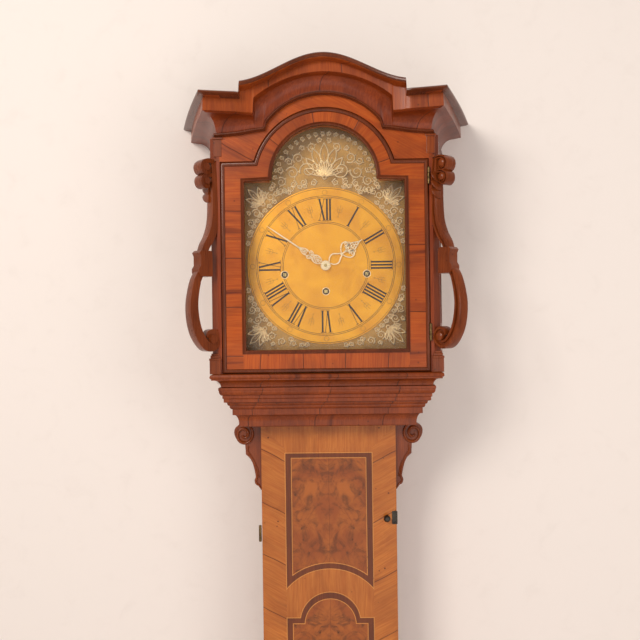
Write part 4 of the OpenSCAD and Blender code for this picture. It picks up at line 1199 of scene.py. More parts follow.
@dataclass
class Inlay:
    """The inlaid front of the trunk door, or of the base, in thin leaves on its face."""

    palette: Palette
    body: str
    name: str
    slot: str = "trunk_wood"

    def leaf(self, name: str, outline: Array, finish: bpy.types.Material, height: float) -> None:
        """Lay one flat leaf on the face."""
        shell = Shell()
        shell.plate(self.plane, outline, LEAF_FOOT, height)
        shell.piece(f"{self.name}_{name}", finish, self.body, self.slot, flat=True)

    def line(self, name: str, outline: Array, width: float, finish: bpy.types.Material,
             height: float) -> None:
        """Lay one closed strip on the face."""
        shell = Shell()
        shell.sweep(self.plane, outline, flat_section(width, LEAF_FOOT, height), closed=True)
        shell.piece(f"{self.name}_{name}", finish, self.body, self.slot, flat=True)

    def frame_of(self, half: float, low: float, high: float, border: float) -> None:
        """Lay the border: falling grain on the left, rising on the right, upright at top and bottom."""
        inset = 0.6 * MM
        left = np.array([[-half, low], [-half + border, low + border], [-half + border, high - border],
                         [-half, high]])
        top = np.array([[-half, high], [-half + border, high - border], [half - border, high - border],
                        [half, high]])
        for name, outline, finish in (
                ("left", left, self.palette.rising), ("right", mirrored(left)[::-1], self.palette.falling),
                ("top", top, self.palette.upright),
                ("bottom", (top * np.array([1, -1]) + np.array([0, high + low]))[::-1], self.palette.upright)):
            middle = outline.mean(0)
            shrink = 1 - inset / np.ptp(outline, axis=0)
            self.leaf(name, middle + (outline - middle) * shrink, finish, 0.25 * MM)

    def panel(self, name: str, outer: Array, inner: Array) -> None:
        """Lay one panel: a pale line, a dark band, a second pale line and burl inside."""
        self.leaf(f"{name}_band", outer, self.palette.band, 0.35 * MM)
        self.leaf(f"{name}_burl", inner, self.palette.burl, 0.45 * MM)
        self.line(f"{name}_outer_line", outer, 1.5 * MM, self.palette.string, 0.5 * MM)
        self.line(f"{name}_inner_line", inner, 1.4 * MM, self.palette.string, 0.55 * MM)

    def build_trunk(self) -> None:
        """Lay the trunk door's border and its two shaped panels."""
        low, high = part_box("trunk_door")
        self.plane = Plane((0.0, low[1], 0.0))
        half, bottom, top = high[0], low[2], high[2]
        self.frame_of(half, bottom + 2 * MM, top, 43.7 * MM)
        mid = top - 262 * MM
        self.panel("upper", self.arched_foot(80 * MM, top - 52 * MM, mid - 40 * MM, mid - 3 * MM),
                   self.arched_foot(68.5 * MM, top - 61.4 * MM, mid - 14.5 * MM, mid + 8 * MM))
        head = mid - 45.5 * MM
        foot = bottom + 58 * MM
        self.panel("lower", self.arched_head(80 * MM, foot, head - 47.1 * MM, 55 * MM, head),
                   self.arched_head(68.5 * MM, foot + 11.5 * MM, head - 57.9 * MM, 47 * MM,
                                    head - 12.5 * MM))

    def build_base(self) -> None:
        """Lay the base front's border and its one square panel."""
        low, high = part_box("base_front")
        self.plane = Plane((0.0, low[1], 0.0))
        half, bottom, top = high[0], low[2], high[2]
        self.frame_of(half, bottom + 1 * MM, top - 1 * MM, 52 * MM)
        for name, inset, finish, lift in (("band", 62, self.palette.band, 0.35),
                                          ("burl", 74, self.palette.burl, 0.45)):
            outline = self.arched_head(half - inset * MM, bottom + inset * MM, top - (inset + 22) * MM,
                                       half - (inset + 30) * MM, top - inset * MM)
            self.leaf(name, outline, finish, lift * MM)
            self.line(f"{name}_line", outline, 2.5 * MM, self.palette.string, (lift + 0.12) * MM)

    @staticmethod
    def arched_foot(half: float, top: float, corner: float, apex: float) -> Array:
        """Return a panel whose bottom edge arches up in the middle."""
        rise = apex - corner
        radius = (half * half + rise * rise) / (2 * rise)
        reach = math.degrees(math.asin(half / radius))
        curve = arc((0.0, apex - radius), radius, 90 + reach, 90 - reach, 40)
        return np.concatenate([curve, [[half, top], [-half, top]]])

    @staticmethod
    def arched_head(half: float, low: float, shoulder: float, spring: float, apex: float) -> Array:
        """Return a panel with square shoulders and a round arch in the middle."""
        rise = apex - shoulder
        radius = (spring * spring + rise * rise) / (2 * rise)
        reach = math.degrees(math.asin(min(1.0, spring / radius)))
        curve = arc((0.0, apex - radius), radius, 90 - reach, 90 + reach, 40)
        return np.concatenate([[[-half, low], [half, low], [half, shoulder]], curve, [[-half, shoulder]]])


@dataclass
class TrunkCatch:
    """The round iron knob of the trunk door and the plate at the door's edge."""

    palette: Palette

    def build(self) -> None:
        """Turn the knob and spindle, and cut the tongue and the screwed plate."""
        low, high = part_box("trunk_latch")
        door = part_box("trunk_door")
        x, z = low[0] + 6 * MM, 0.5 * (low[2] + high[2])
        face = door[0][1]
        shell = Shell()
        profile = np.array([[0.0, -16], [3.4, -15.6], [5.5, -13.6], [6.2, -11.4], [5.6, -9.0], [3.6, -7.8],
                            [3.0, -6.0], [5.0, -1.0], [5.0, 0.0], [3.0, 0.0], [3.0, 26.0], [0.0, 26.0]]) * MM
        shell.turned((x, face, z), profile, 1, 40)
        tongue = np.array([[-3.2, -3.2], [11.0, -3.2], [11.0, 3.2], [-3.2, 3.2]]) * MM
        shell.plate(Plane((x, high[1], z)), tongue, 0.0, 3.0 * MM)
        shell.piece("catch_knob", self.palette.iron, "trunk_latch", "iron", "trunk_latch", bevel=0.0003)
        shell = Shell()
        plate = np.array([[-4, -12], [4, -12], [5, -11], [5, 11], [4, 12], [-4, 12], [-5, 11], [-5, -11]]) * MM
        plate_x = door[1][0] - 3.6 * MM
        shell.plate(Plane((plate_x, face, z)), plate, -0.2 * MM, 1.4 * MM)
        screw = np.array([[0.0, -2.2], [1.6, -2.0], [2.0, -1.4], [2.0, 0.0], [0.0, 0.0]]) * MM
        for level in (-9 * MM, 9 * MM):
            shell.turned((plate_x, face, z + level), screw, 1, 16)
        shell.piece("catch_plate", self.palette.iron, "trunk_door", "iron", bevel=0.0003)


@dataclass
class Hinges:
    """The two hinges of one door: knuckles with turned ends on the case, and one between them on the door.

    Attributes:
        palette: the finishes.
        pin: place of the pin across and in depth.
        fixed: node and body of the still halves.
        moving: node and body of the door's halves.
        radius: radius of a knuckle.
        rise: distance from the foot of a hinge to its middle.
    """

    palette: Palette
    pin: tuple[float, float]
    fixed: tuple[str, str]
    moving: tuple[str, str]
    radius: float = 2.6 * MM
    rise: float = 15 * MM

    def build(self) -> None:
        """Turn the knuckles of both hinges."""
        low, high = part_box(self.fixed[0])
        middles = (low[2] + self.rise, high[2] - self.rise)
        r = self.radius / MM
        outer = np.array([[0.0, 5.2], [r, 5.2], [r, 13.6], [0.8 * r, 14.2], [0.9 * r, 14.9], [0.0, 15.0]]) * MM
        inner = np.array([[0.0, -4.7], [0.92 * r, -4.7], [r, -4.3], [r, 4.3], [0.92 * r, 4.7], [0.0, 4.7]]) * MM
        still, door = Shell(), Shell()
        for middle in middles:
            for side in (1, -1):
                still.turned((*self.pin, middle), outer * np.array([1, side]), 2, 24)
            door.turned((*self.pin, middle), inner, 2, 24)
        for shell, (node, rides_on) in ((still, self.fixed), (door, self.moving)):
            shell.piece(f"{node}_knuckles", self.palette.old_brass, rides_on, "hinge_brass", node)


# ---------------------------------------------------------------- dial
NUMERALS = ("XII", "I", "II", "III", "IIII", "V", "VI", "VII", "VIII", "IX", "X", "XI")


@dataclass
class Dial:
    """The engraved disc, with its numerals and marks, and the cast ornaments round it.

    Attributes:
        palette: the finishes.
        low_mark: radius of the foot of a numeral.
        high_mark: radius of its top.
    """

    palette: Palette
    low_mark: float = 81.5 * MM
    high_mark: float = 120 * MM

    def __post_init__(self) -> None:
        """Take the dial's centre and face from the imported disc."""
        low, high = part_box("dial_disc")
        self.centre = np.array([0.0, low[1], 0.5 * (low[2] + high[2])])
        self.radius = high[0]

    def spoke(self, turn: float) -> Plane:
        """Return a plane on the disc whose up axis points out along an angle, clockwise from the top."""
        across, up = math.cos(turn), math.sin(turn)
        return Plane(tuple(self.centre), (across, 0.0, -up), (up, 0.0, across))

    def build(self) -> None:
        """Engrave the disc and cast the ornaments."""
        self.rings()
        self.numerals()
        self.marks()
        self.ornaments()

    def rings(self) -> None:
        """Draw the double circles inside and outside the numerals and the one near the rim."""
        shell = Shell()
        for radius, width in ((76, 0.7), (78.6, 0.7), (123, 0.7), (125.6, 0.7), (138.6, 0.6)):
            shell.sweep(Plane(tuple(self.centre)), ring((0, 0), radius * MM, 120),
                        flat_section(width * MM, SINK, ETCH), closed=True)
        shell.piece("dial_circles", self.palette.ink, "case", "dial_gilt", flat=True)

    def stroke(self, shell: Shell, plane: Plane, foot: float, head: float, width: float) -> None:
        """Add one slanted stroke with a fine serif at both ends."""
        low, high, half = self.low_mark, self.high_mark, width / 2
        lean = np.array([[foot - half, low], [foot + half, low], [head + half, high], [head - half, high]])
        shell.plate(plane, lean, SINK, 0.14 * MM)
        for place, level in ((foot, low), (head, high)):
            reach = half + 1.9 * MM
            serif = np.array([[place - reach, level - 0.5 * MM], [place + reach, level - 0.5 * MM],
                              [place + reach, level + 0.5 * MM], [place - reach, level + 0.5 * MM]])
            shell.plate(plane, serif, SINK, ETCH)

    def numerals(self) -> None:
        """Cut the Roman numerals: an I is one stroke, a V two that meet at the foot, an X two that cross."""
        shell = Shell()
        widths = {"I": 5.6 * MM, "V": 13.5 * MM, "X": 13.0 * MM}
        for hour, word in enumerate(NUMERALS):
            plane = self.spoke(math.radians(30 * hour))
            place = -0.5 * sum(widths[letter] for letter in word)
            for letter in word:
                middle = place + widths[letter] / 2
                reach = 0.5 * widths[letter] - 2.2 * MM
                thick = {"I": (0.0, 0.0), "V": (0.0, -reach), "X": (reach, -reach)}[letter]
                self.stroke(shell, plane, middle + thick[0], middle + thick[1], 3.1 * MM)
                if letter != "I":
                    foot = 0.6 * MM if letter == "V" else -reach
                    self.stroke(shell, plane, middle + foot, middle + reach, 0.9 * MM)
                place += widths[letter]
        shell.piece("dial_numerals", self.palette.ink, "case", "dial_gilt", flat=True)

    def marks(self) -> None:
        """Cut a small circle at each hour, ticks at the minutes, and a fleur at each half hour."""
        shell = Shell()
        line = flat_section(0.6 * MM, SINK, ETCH)
        for minute in range(60):
            plane = self.spoke(math.radians(6 * minute))
            if minute % 5:
                tick = np.array([[-0.3, 123.2], [0.3, 123.2], [0.3, 125.4], [-0.3, 125.4]]) * MM
                shell.plate(plane, tick, SINK, ETCH)
            else:
                shell.sweep(plane, ring((0, 131.6 * MM), 4.4 * MM, 20), line, closed=True)
        for half in range(12):
            plane = self.spoke(math.radians(30 * half + 15))
            shell.sweep(plane, np.array([[0, 93], [0, 112]]) * MM, line)
            shell.sweep(plane, ring((0, 90.5 * MM), 1.0 * MM, 10), line, closed=True)
            for side in (1, -1):
                for foot, tip in ((98, 104), (103, 109)):
                    leaf = np.array([[0, foot], [2.6, foot + 0.6], [4.4, tip - 2.6], [4.0, tip]]) * MM
                    shell.sweep(plane, leaf * np.array([side, 1.0]), line)
        shell.piece("dial_marks", self.palette.etching, "case", "dial_gilt", flat=True)
        self.rims()

    def rims(self) -> None:
        """Turn the raised rim of the disc, the rims of the winding holes, and a dark ring of painted shade
        inside each hole.
        """
        face = Plane(tuple(self.centre))
        shell, dark, edge = Shell(), Shell(), Shell()
        rim = np.array([[0.9, -0.5], [0.9, 0.2], [0.4, 0.5], [-0.4, 0.4], [-0.8, -0.5]]) * MM
        edge.sweep(face, ring((0, 0), self.radius - 1.2 * MM, 128), rim, closed=True)
        edge.piece("dial_edge", self.palette.dial, "case", "dial_gilt")
        for x, z, radius in self.winding_holes():
            shell.sweep(face, ring((x, z), radius, 32), half_round(1.2 * MM, 0.7 * MM), closed=True)
            # painted shade: a dark ring sunk just behind the face stands for the shade inside each winding hole
            dark.sweep(face, ring((x, z), 4.2 * MM, 32), flat_section(4.0 * MM, -0.6 * MM, -0.3 * MM),
                       closed=True)
        dark.piece("winding_hole_painted_shade", self.palette.ink, "case", "steel", flat=True)
        shell.piece("dial_rims", self.palette.gilt, "case", "dial_gilt")

    def winding_holes(self) -> list[tuple[float, float, float]]:
        """Return the place and radius of each winding hole, from the barrels behind the disc."""
        holes = []
        for node in ("strike_barrel", "going_barrel", "chime_barrel"):
            low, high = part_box(node)
            holes.append((0.5 * (low[0] + high[0]), 0.5 * (low[2] + high[2]) - self.centre[2], 6.6 * MM))
        return holes

    def ornaments(self) -> None:
        """Cast the pierced ornaments: a fan and scrolls in each corner, and a larger group in the arch."""
        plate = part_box("dial_plate")
        plane = Plane((0.0, plate[0][1], self.centre[2]))
        shell = Shell()
        for side in (1, -1):
            for upper in (1, -1):
                self.corner(shell, plane, np.array([side, upper]))
        arch_z = plate[1][2] - self.centre[2] - 105 * MM
        for length, count, spread in ((62, 7, 130), (34, 6, 100)):
            self.fan(shell, plane, np.array([0, 159 * MM]), np.array([0, 1.0]), length * MM, count, spread)
        for side in (1, -1):
            for x, z, radius, start in (
                    (30, 172, 15, 200), (58, 168, 12, 160), (78, 152, 9, 120), (47, 194, 10, 230),
                    (64, 188, 7, 180), (20, 150, 6, 90), (38, 151, 6, 60), (56, 148, 6, 90), (22, 214, 8, 260),
                    (80, 172, 6, 150), (94, 146, 5, 100), (88, 132, 6, 60), (74, 136, 5, 100),
                    (40, 212, 5, 200), (8, 226, 5, 250)):
                self.coil(shell, plane, np.array([side * x, z]) * MM, radius * MM, start, side)
        for angle in np.arange(4, 178, 8.0):
            tip = arc((0, arch_z), 91 * MM, angle, angle, 1)[0]
            self.coil(shell, plane, tip, 4.2 * MM, angle + 160, -1 if angle < 90 else 1)
        self.border(shell, plane)
        shell.piece("dial_ornaments", self.palette.gilt, "case", "cast_gilt", "spandrels")

    def border(self, shell: Shell, plane: Plane) -> None:
        """Cast a row of small coils round the disc, wherever the square plate has room for one."""
        rows = [first + 4.5 * step for first in (23, 128, 203, 308) for step in range(7)]
        single = [4, 12, 168, 176, 184, 192, 348, 356, 244, 256, 284, 296, 64, 76, 104, 116]
        for angle in rows + single:
            tip = arc((0, 0), 147 * MM, angle, angle, 1)[0]
            if abs(tip[0]) < 142 * MM and tip[1] > -152 * MM:
                turn = 1 if math.sin(math.radians(2 * angle)) > 0 else -1
                self.coil(shell, plane, tip, 4.6 * MM, angle + 90, turn)

    def corner(self, shell: Shell, plane: Plane, way: Array) -> None:
        """Cast one corner: a fan that points into it, with coils along the disc on both sides."""
        self.fan(shell, plane, way * np.array([111, 112]) * MM, way / math.sqrt(2), 38 * MM, 5, 110)
        turn = way[0] * way[1]
        for x, z, radius, start, side in (
                (124, 96, 8, 20, 1), (134, 78, 7, 40, 1), (137, 58, 6, 60, 1), (128, 112, 5, 0, 1),
                (98, 126, 8, 70, -1), (80, 136, 7, 50, -1), (60, 140, 6, 30, -1), (112, 132, 5, 90, -1),
                (140, 42, 4.5, 60, 1), (44, 143, 4.5, 40, -1), (138, 96, 4, 30, 1), (96, 140, 4, 60, -1)):
            place = np.array([x, z]) * way * MM
            angle = start if way[0] > 0 else 180 - start
            self.coil(shell, plane, place, radius * MM, angle * way[1], side * turn)

    def coil(self, shell: Shell, plane: Plane, centre: Array, radius: float, start: float, turn: float) -> None:
        """Add one thin coil whose radius shrinks evenly over a turn and a half, with a leaf on its back."""
        share = np.linspace(0, 1, 30)
        angle = math.radians(start) + turn * share * 2.9 * math.pi
        reach = radius * (1 - 0.8 * share)
        path = centre + np.stack([reach * np.cos(angle), reach * np.sin(angle)], 1)
        span = 1.15 - 0.6 * share
        shell.sweep(plane, path, half_round(2.2 * MM, 2.6 * MM, 5), span, span)
        for back in (4, 8, 12):
            out = (path[back] - centre) / np.linalg.norm(path[back] - centre)
            along = np.array([-out[1], out[0]]) * turn
            leaf = path[back] + (out + 0.7 * along) * np.linspace(0, 0.42 * radius, 5)[:, None]
            shell.sweep(plane, leaf, half_round(1.8 * MM, 2.0 * MM, 5), taper(5, 0.4), taper(5, 0.4))

    def fan(self, shell: Shell, plane: Plane, base: Array, up: Array, length: float, count: int,
            spread: float) -> None:
        """Add a palmette: outlined drop-shaped lobes that fan out from a base and shorten to the sides.

        One lobe's half width is the sine of the share of its length, drawn up one side and down the other.
        """
        share = np.linspace(0, 1, 13)
        for angle in np.linspace(-spread / 2, spread / 2, count):
            turn = math.radians(angle)
            way = np.array([up[0] * math.cos(turn) + up[1] * math.sin(turn),
                            up[1] * math.cos(turn) - up[0] * math.sin(turn)])
            beside = np.array([-way[1], way[0]])
            size = length * (1.0 - 0.40 * (abs(angle) / (spread / 2)) ** 1.4)
            wide = 0.12 * size * np.sin(math.pi * share ** 1.5)[:, None] * beside
            spine = base + way * (3 * MM + (size - 3 * MM) * share[:, None])
            lobe = np.concatenate([spine + wide, (spine - wide)[-2:0:-1]])
            shell.sweep(plane, lobe, half_round(2.3 * MM, 2.8 * MM, 5), closed=True)
            shell.sweep(plane, spine[:9], half_round(1.5 * MM, 2.2 * MM, 5))
        shell.sweep(plane, base + ring((0, 0), 3.2 * MM, 16), half_round(2.4 * MM, 3 * MM, 5), closed=True)


@dataclass
class Hands:
    """The pair of pierced hands, each on its own arbor.

    Attributes:
        palette: the finishes.
        thickness: thickness of a hand.
    """

    palette: Palette
    thickness: float = 1.2 * MM

    def strip(self, shell: Shell, plane: Plane, points: Sequence[tuple], width: float) -> None:
        """Add one curved bar of a hand and its mirror image."""
        path = spline(np.array(points, float) * MM, 7)
        section = flat_section(width * MM, 0.0, self.thickness)
        for line in (path, mirrored(path)):
            shell.sweep(plane, line, section, taper(len(path), 0.6))

    def rings(self, shell: Shell, plane: Plane, places: Sequence[tuple], radius: float) -> None:
        """Fill a hand's openwork with small rings, mirrored about its spine."""
        for across, along in places:
            for side in ((1, -1) if across else (1,)):
                shell.sweep(plane, ring((side * across * MM, along * MM), radius * MM, 14),
                            flat_section(1.3 * MM, 0.0, self.thickness), closed=True)

    def start(self, node: str, boss: float, hole: float) -> tuple[Shell, Plane]:
        """Return a shell with the hand's ring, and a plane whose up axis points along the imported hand."""
        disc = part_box("dial_disc")
        middle = 0.5 * (disc[0][2] + disc[1][2])
        low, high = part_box(node)
        reach_x = high[0] if high[0] > -low[0] else low[0]
        above, below = high[2] - middle, middle - low[2]
        reach_z = above if above > below else -below
        length = math.hypot(reach_x, reach_z)
        up = (reach_x / length, 0.0, reach_z / length)
        plane = Plane((0.0, high[1], middle), (up[2], 0.0, -up[0]), up)
        shell = Shell()
        mean, width = 0.5 * (boss + hole) * MM, (boss - hole) * MM
        shell.sweep(plane, ring((0, 0), mean, 40), flat_section(width, 0.0, self.thickness), closed=True)
        return shell, plane

    def build(self) -> None:
        """Cut the long minute hand and the short hour hand with its trefoil."""
        shell, plane = self.start("minute_hand", 8.0, 2.6)
        self.strip(shell, plane, [(0.2, 7), (5.5, 14), (6.5, 22), (2.2, 31), (1.0, 36)], 1.8)
        self.strip(shell, plane, [(1.0, 34), (4.6, 40), (4.8, 47), (1.4, 55), (0.7, 62)], 1.6)
        self.strip(shell, plane, [(2.0, 29), (6.4, 31), (7.4, 36), (4.6, 37.5)], 1.5)
        tip = np.array([[-1.3, 50], [1.3, 50], [1.1, 110], [0.25, 127], [-0.25, 127], [-1.1, 110]]) * MM
        shell.plate(plane, tip, 0.0, self.thickness)
        self.rings(shell, plane, ((0, 13), (2.6, 18), (2.4, 24), (0, 29), (3.4, 34), (1.8, 43), (0, 48)), 2.0)
        shell.piece("pierced_minute_hand", self.palette.gilt, "centre_arbor", "plate_brass", "minute_hand",
                    bevel=0.00025, flat=True)
        shell, plane = self.start("hour_hand", 9.0, 4.2)
        self.strip(shell, plane, [(0.5, 8), (7.5, 14), (9.5, 22), (4.0, 31), (1.4, 37)], 2.2)
        self.strip(shell, plane, [(1.2, 36), (8.0, 39), (14.5, 46), (13.5, 54), (7.0, 55), (5.0, 50),
                                  (8.0, 47)], 2.1)
        self.strip(shell, plane, [(1.0, 44), (5.4, 53), (5.8, 62), (2.4, 69), (0.6, 74)], 2.0)
        tip = np.array([[-1.6, 70], [1.6, 70], [0.4, 81], [-0.4, 81]]) * MM
        stem = np.array([[-1.2, 33], [1.2, 33], [1.2, 47], [-1.2, 47]]) * MM
        shell.plate(plane, tip, 0.0, self.thickness)
        shell.plate(plane, stem, 0.0, self.thickness)
        self.rings(shell, plane, ((0, 47), (5, 50), (10, 52), (3.4, 56), (8.4, 57), (0, 60), (2.6, 65),
                                  (0, 53)), 2.3)
        shell.piece("pierced_hour_hand", self.palette.gilt, "hour_pipe", "plate_brass", "hour_hand",
                    bevel=0.00025, flat=True)


# ---------------------------------------------------------------- inside the case
@dataclass
class Drive:
    """One weight with its pulley and hook, its gut line and the turns of gut on its barrel.

    Attributes:
        palette: the finishes.
        name: the drive's name in the nodes.
        rise: the joint that lifts its weight; not used.
        travel: how far the weight rises; not used.
        gut: radius of the line.
    """

    palette: Palette
    name: str
    rise: str
    travel: float = 0.92
    gut: float = 0.9 * MM

    def build(self) -> None:
        """Make the weight, its line and its windings."""
        low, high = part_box(f"{self.name}_weight")
        x, y = 0.5 * (low[0] + high[0]), 0.5 * (low[1] + high[1])
        radius = 0.5 * (high[0] - low[0])
        foot = low[2]
        shell = Shell()
        body = np.array([[0, 0], [radius - 4 * MM, 0], [radius - 1 * MM, 2 * MM], [radius, 4 * MM],
                         [radius, 8 * MM], [radius - 0.8 * MM, 10 * MM], [radius - 0.8 * MM, 190 * MM],
                         [radius, 192 * MM], [radius, 196 * MM], [radius - 2 * MM, 199 * MM],
                         [7 * MM, 200 * MM], [5 * MM, 204 * MM], [2 * MM, 206 * MM], [2 * MM, 212 * MM],
                         [0, 212 * MM]])
        shell.turned((x, y, foot), body, 2, 56)
        shell.piece(f"{self.name}_weight_case", self.palette.brass, f"{self.name}_weight", "weight_brass",
                    f"{self.name}_weight")
        axle = foot + 246 * MM
        self.pulley(x, y, axle)
        self.line(x, y, axle)

    def pulley(self, x: float, y: float, z: float) -> None:
        """Turn the grooved pulley and bend the stirrup that hangs the weight from it."""
        shell = Shell()
        groove = np.array([[0, -3.5], [12, -3.5], [16, -3.2], [16, -2.2], [13.2, 0], [16, 2.2], [16, 3.2],
                           [12, 3.5], [0, 3.5]]) * MM
        shell.turned((x, y, z), groove, 1, 48)
        shell.piece(f"{self.name}_pulley", self.palette.brass, f"{self.name}_weight", "weight_brass")
        shell = Shell()
        for side in (1, -1):
            strap = np.array([[-3, -37], [3, -37], [3, 4], [0, 6], [-3, 4]]) * MM
            face = y + side * 4.8 * MM
            shell.plate(Plane((x, face, z)), strap, -0.8 * MM, 0.8 * MM)
        shell.plate(Plane((x, y, z - 35.5 * MM), (1, 0, 0), (0, 1, 0)),
                    np.array([[-3, -5.6], [3, -5.6], [3, 5.6], [-3, 5.6]]) * MM, -1.2 * MM, 1.2 * MM)
        shell.piece(f"{self.name}_stirrup", self.palette.steel, f"{self.name}_weight", "steel", bevel=0.0004)

    def line(self, x: float, y: float, pulley_z: float) -> None:
        """Twist the gut: two falls under the seat board, one strand above it, and turns on the barrel."""
        seat_low, seat_high = (corner[2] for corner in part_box("seat_board"))
        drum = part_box(f"{self.name}_barrel")
        centre = 0.5 * (np.array(drum[0]) + np.array(drum[1]))
        spread = 16.2 * MM
        falls = Shell()
        for side in (1, -1):
            self.strand(falls, x + side * spread, y, pulley_z, seat_low, 60)
        made = falls.piece(f"{self.name}_gut_falls", self.palette.gut, "case", "gut", f"{self.name}_line")
        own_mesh(made)
        above = Shell()
        inner = min((x + spread, x - spread), key=lambda place: abs(place - centre[0]))
        self.strand(above, inner, y, seat_low, centre[2], 12)
        self.strand(above, 2 * x - inner, y, seat_low, seat_high + 2 * MM, 4)
        above.piece(f"{self.name}_gut_above", self.palette.gut, "case", "gut")
        turns = 13
        t = np.linspace(0, 1, turns * 20)[:, None]
        angle = 2 * math.pi * turns * t
        reach, span = 20.6 * MM, 26 * MM
        path = centre + np.concatenate([reach * np.cos(angle), (t - 0.5) * span, reach * np.sin(angle)], 1)
        coil = Shell()
        round_line = np.linspace(0, 2 * math.pi, 6, endpoint=False)
        out = np.concatenate([np.cos(angle), np.zeros_like(angle), np.sin(angle)], 1)
        side = np.array([0.0, 1.0, 0.0])
        coil.grid(path[:, None] + self.gut * (np.cos(round_line)[None, :, None] * out[:, None]
                                              + np.sin(round_line)[None, :, None] * side), False, True, True)
        coil.piece(f"{self.name}_gut_turns", self.palette.gut, f"{self.name}_barrel", "gut")

    def strand(self, shell: Shell, x: float, y: float, low: float, high: float, steps: int) -> None:
        """Add an upright line whose round section twists slightly."""
        level = np.linspace(low, high, steps)[:, None]
        turn = np.linspace(0, 2 * math.pi, 8, endpoint=False)[None, :] + 0.5 * np.arange(steps)[:, None]
        shell.grid(np.stack([x + self.gut * np.cos(turn), y + self.gut * np.sin(turn),
                             np.broadcast_to(level, turn.shape)], -1), False, True, True)


@dataclass
class Pendulum:
    """The rod, its suspension, the lens-shaped bob and the rating nut."""

    palette: Palette

    def build(self) -> None:
        """Turn the bob about its level axis and the rod parts about the rod."""
        low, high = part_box("pendulum")
        y = 0.5 * (low[1] + high[1])
        radius = 0.5 * (high[0] - low[0])
        thick = 0.5 * (high[1] - low[1])
        shell = Shell()
        angle = np.linspace(-90, 90, 25)
        lens = np.stack([radius * np.cos(np.radians(angle)) ** 0.55, thick * np.sin(np.radians(angle))], 1)
        lens[0, 0] = lens[-1, 0] = 0.0
        centre_z = self.bob_height(low[2], radius)
        shell.turned((0.0, y, centre_z), lens, 1, 72)
        shell.piece("pendulum_bob", self.palette.brass, "pendulum", "plate_brass")
        rod = Shell()
        top = high[2]
        profile = np.array([[0, centre_z], [2.4, centre_z], [2.4, top - 60 * MM], [4, top - 58 * MM],
                            [4, top - 44 * MM], [2.4, top - 42 * MM], [2.4, top - 8 * MM], [4.2, top - 7 * MM],
                            [4.2, top], [0, top]])
        profile[:, 0] *= MM
        rod.turned((0.0, y, 0.0), profile, 2, 24)
        nut = np.array([[0, low[2]], [2.4, low[2]], [2.4, low[2] + 3 * MM], [6, low[2] + 3.5 * MM],
                        [6, low[2] + 8 * MM], [2.4, low[2] + 9 * MM], [2.4, centre_z - 40 * MM],
                        [0, centre_z - 40 * MM]])
        nut[:, 0] *= MM
        rod.turned((0.0, y, 0.0), nut, 2, 24)
        rod.piece("pendulum_rod", self.palette.steel, "pendulum", "steel", "pendulum")

    @staticmethod
    def bob_height(foot: float, radius: float) -> float:
        """Return the height of the bob's centre above the rating nut."""
        return foot + radius + 16 * MM


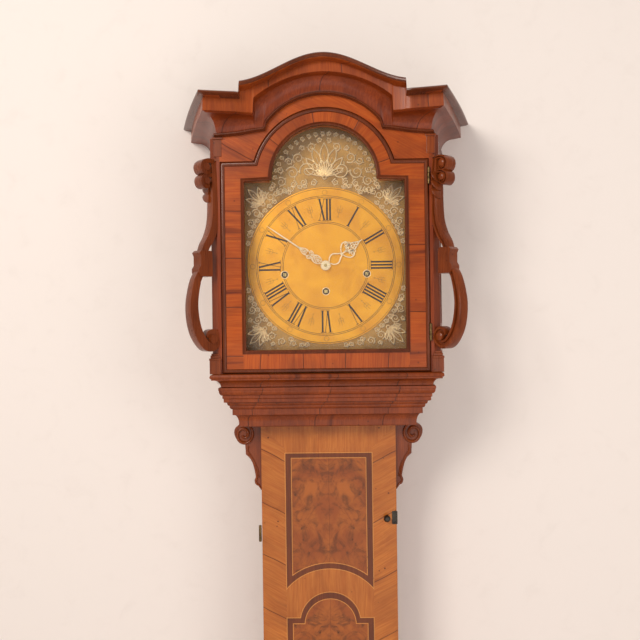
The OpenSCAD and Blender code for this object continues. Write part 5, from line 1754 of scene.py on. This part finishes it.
# ---------------------------------------------------------------- room
@dataclass(frozen=True)
class Studio:
    """A pale floor and wall, soft lights, and a level camera in front of the dial."""

    camera_place: tuple[float, float, float] = (0.028, -1.6535, 1.782)
    lens: float = 50.6

    def camera(self) -> None:
        """Place the camera, turned and rolled slightly."""
        data = bpy.data.cameras.new("camera")
        data.lens, data.sensor_width = self.lens, 36.0
        data.shift_y = 0.008
        made = bpy.data.objects.new("camera", data)
        made.location = self.camera_place
        made.rotation_mode = "XYZ"
        made.rotation_euler = (math.pi / 2, math.radians(0.76), math.radians(1.4))
        bpy.context.scene.collection.objects.link(made)
        bpy.context.scene.camera = made

    def area(self, name: str, place: Sequence[float], aim: Sequence[float], size: float, power: float,
             tint: Colour = (1.0, 1.0, 1.0)) -> None:
        """Hang one square soft light that points at a place."""
        data = bpy.data.lights.new(name, "AREA")
        data.size, data.energy, data.color = size, power, tint
        made = bpy.data.objects.new(name, data)
        made.location = place
        made.rotation_euler = (Vector(aim) - Vector(place)).to_track_quat("-Z", "Y").to_euler()
        bpy.context.scene.collection.objects.link(made)

    def room(self) -> None:
        """Lay the floor, stand the wall behind the case and light the room."""
        wall_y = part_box("backboard")[1][1] + 0.5 * MM
        paint = Metal("pale wall", (0.91, 0.82, 0.77), (0.87, 0.78, 0.73), rough=0.7, metallic=0.0).make()
        for name, points in (("floor", [[-3, -4, 0], [3, -4, 0], [3, wall_y, 0], [-3, wall_y, 0]]),
                             ("wall", [[-3, wall_y, 0], [3, wall_y, 0], [3, wall_y, 3.2], [-3, wall_y, 3.2]])):
            mesh = bpy.data.meshes.new(name)
            mesh.from_pydata(points, [], [[0, 1, 2, 3]])
            mesh.materials.append(paint)
            made = bpy.data.objects.new(name, mesh)
            bpy.context.scene.collection.objects.link(made)
        world = bpy.data.worlds.new("room")
        world.use_nodes = True
        world.node_tree.nodes["Background"].inputs[0].default_value = (0.95, 0.93, 0.90, 1.0)
        world.node_tree.nodes["Background"].inputs[1].default_value = 0.36
        bpy.context.scene.world = world
        self.area("key", (-1.2, -2.4, 3.0), (0.0, 0.0, 1.9), 1.1, 47.0, (1.0, 0.95, 0.88))
        self.area("fill", (1.7, -2.2, 1.9), (0.0, 0.0, 1.7), 1.4, 17.0, (1.0, 0.97, 0.93))
        self.area("low", (0.2, -3.0, 0.9), (0.0, 0.0, 1.2), 1.6, 12.0)
        bpy.context.scene.view_settings.view_transform = "Standard"


def main() -> None:
    """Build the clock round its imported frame, in order from the case to the dial and the drives."""
    logging.basicConfig(level=logging.INFO, format="%(message)s")
    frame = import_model()
    studio = Studio()
    studio.camera()
    palette = Palette()
    dress_nodes(frame, palette)
    Mouldings(palette).build()
    Cornice(palette).build()
    HoodDoor(palette).build()
    for side in (1.0, -1.0):
        Scroll(palette, side).build()
        Corbel(palette, side).build()
    Inlay(palette, "trunk_door", "door").build_trunk()
    Inlay(palette, "case", "base").build_base()
    TrunkCatch(palette).build()
    pins = {joint["name"]: joint["pos_m"] for joint in frame["joints"] if "pos_m" in joint}
    Hinges(palette, tuple(pins["hood_door_hinge"][:2]), ("hood_hinge_pins", "hood"),
           ("hood_door_hinges", "hood_door")).build()
    Hinges(palette, tuple(pins["trunk_door_hinge"][:2]), ("trunk_hinge_pins", "case"),
           ("trunk_door_hinges", "trunk_door")).build()
    Dial(palette).build()
    Hands(palette).build()
    for name in ("strike", "going", "chime"):
        Drive(palette, name, f"{name}_weight_rise").build()
    Pendulum(palette).build()
    studio.room()


if __name__ == "__main__":
    main()
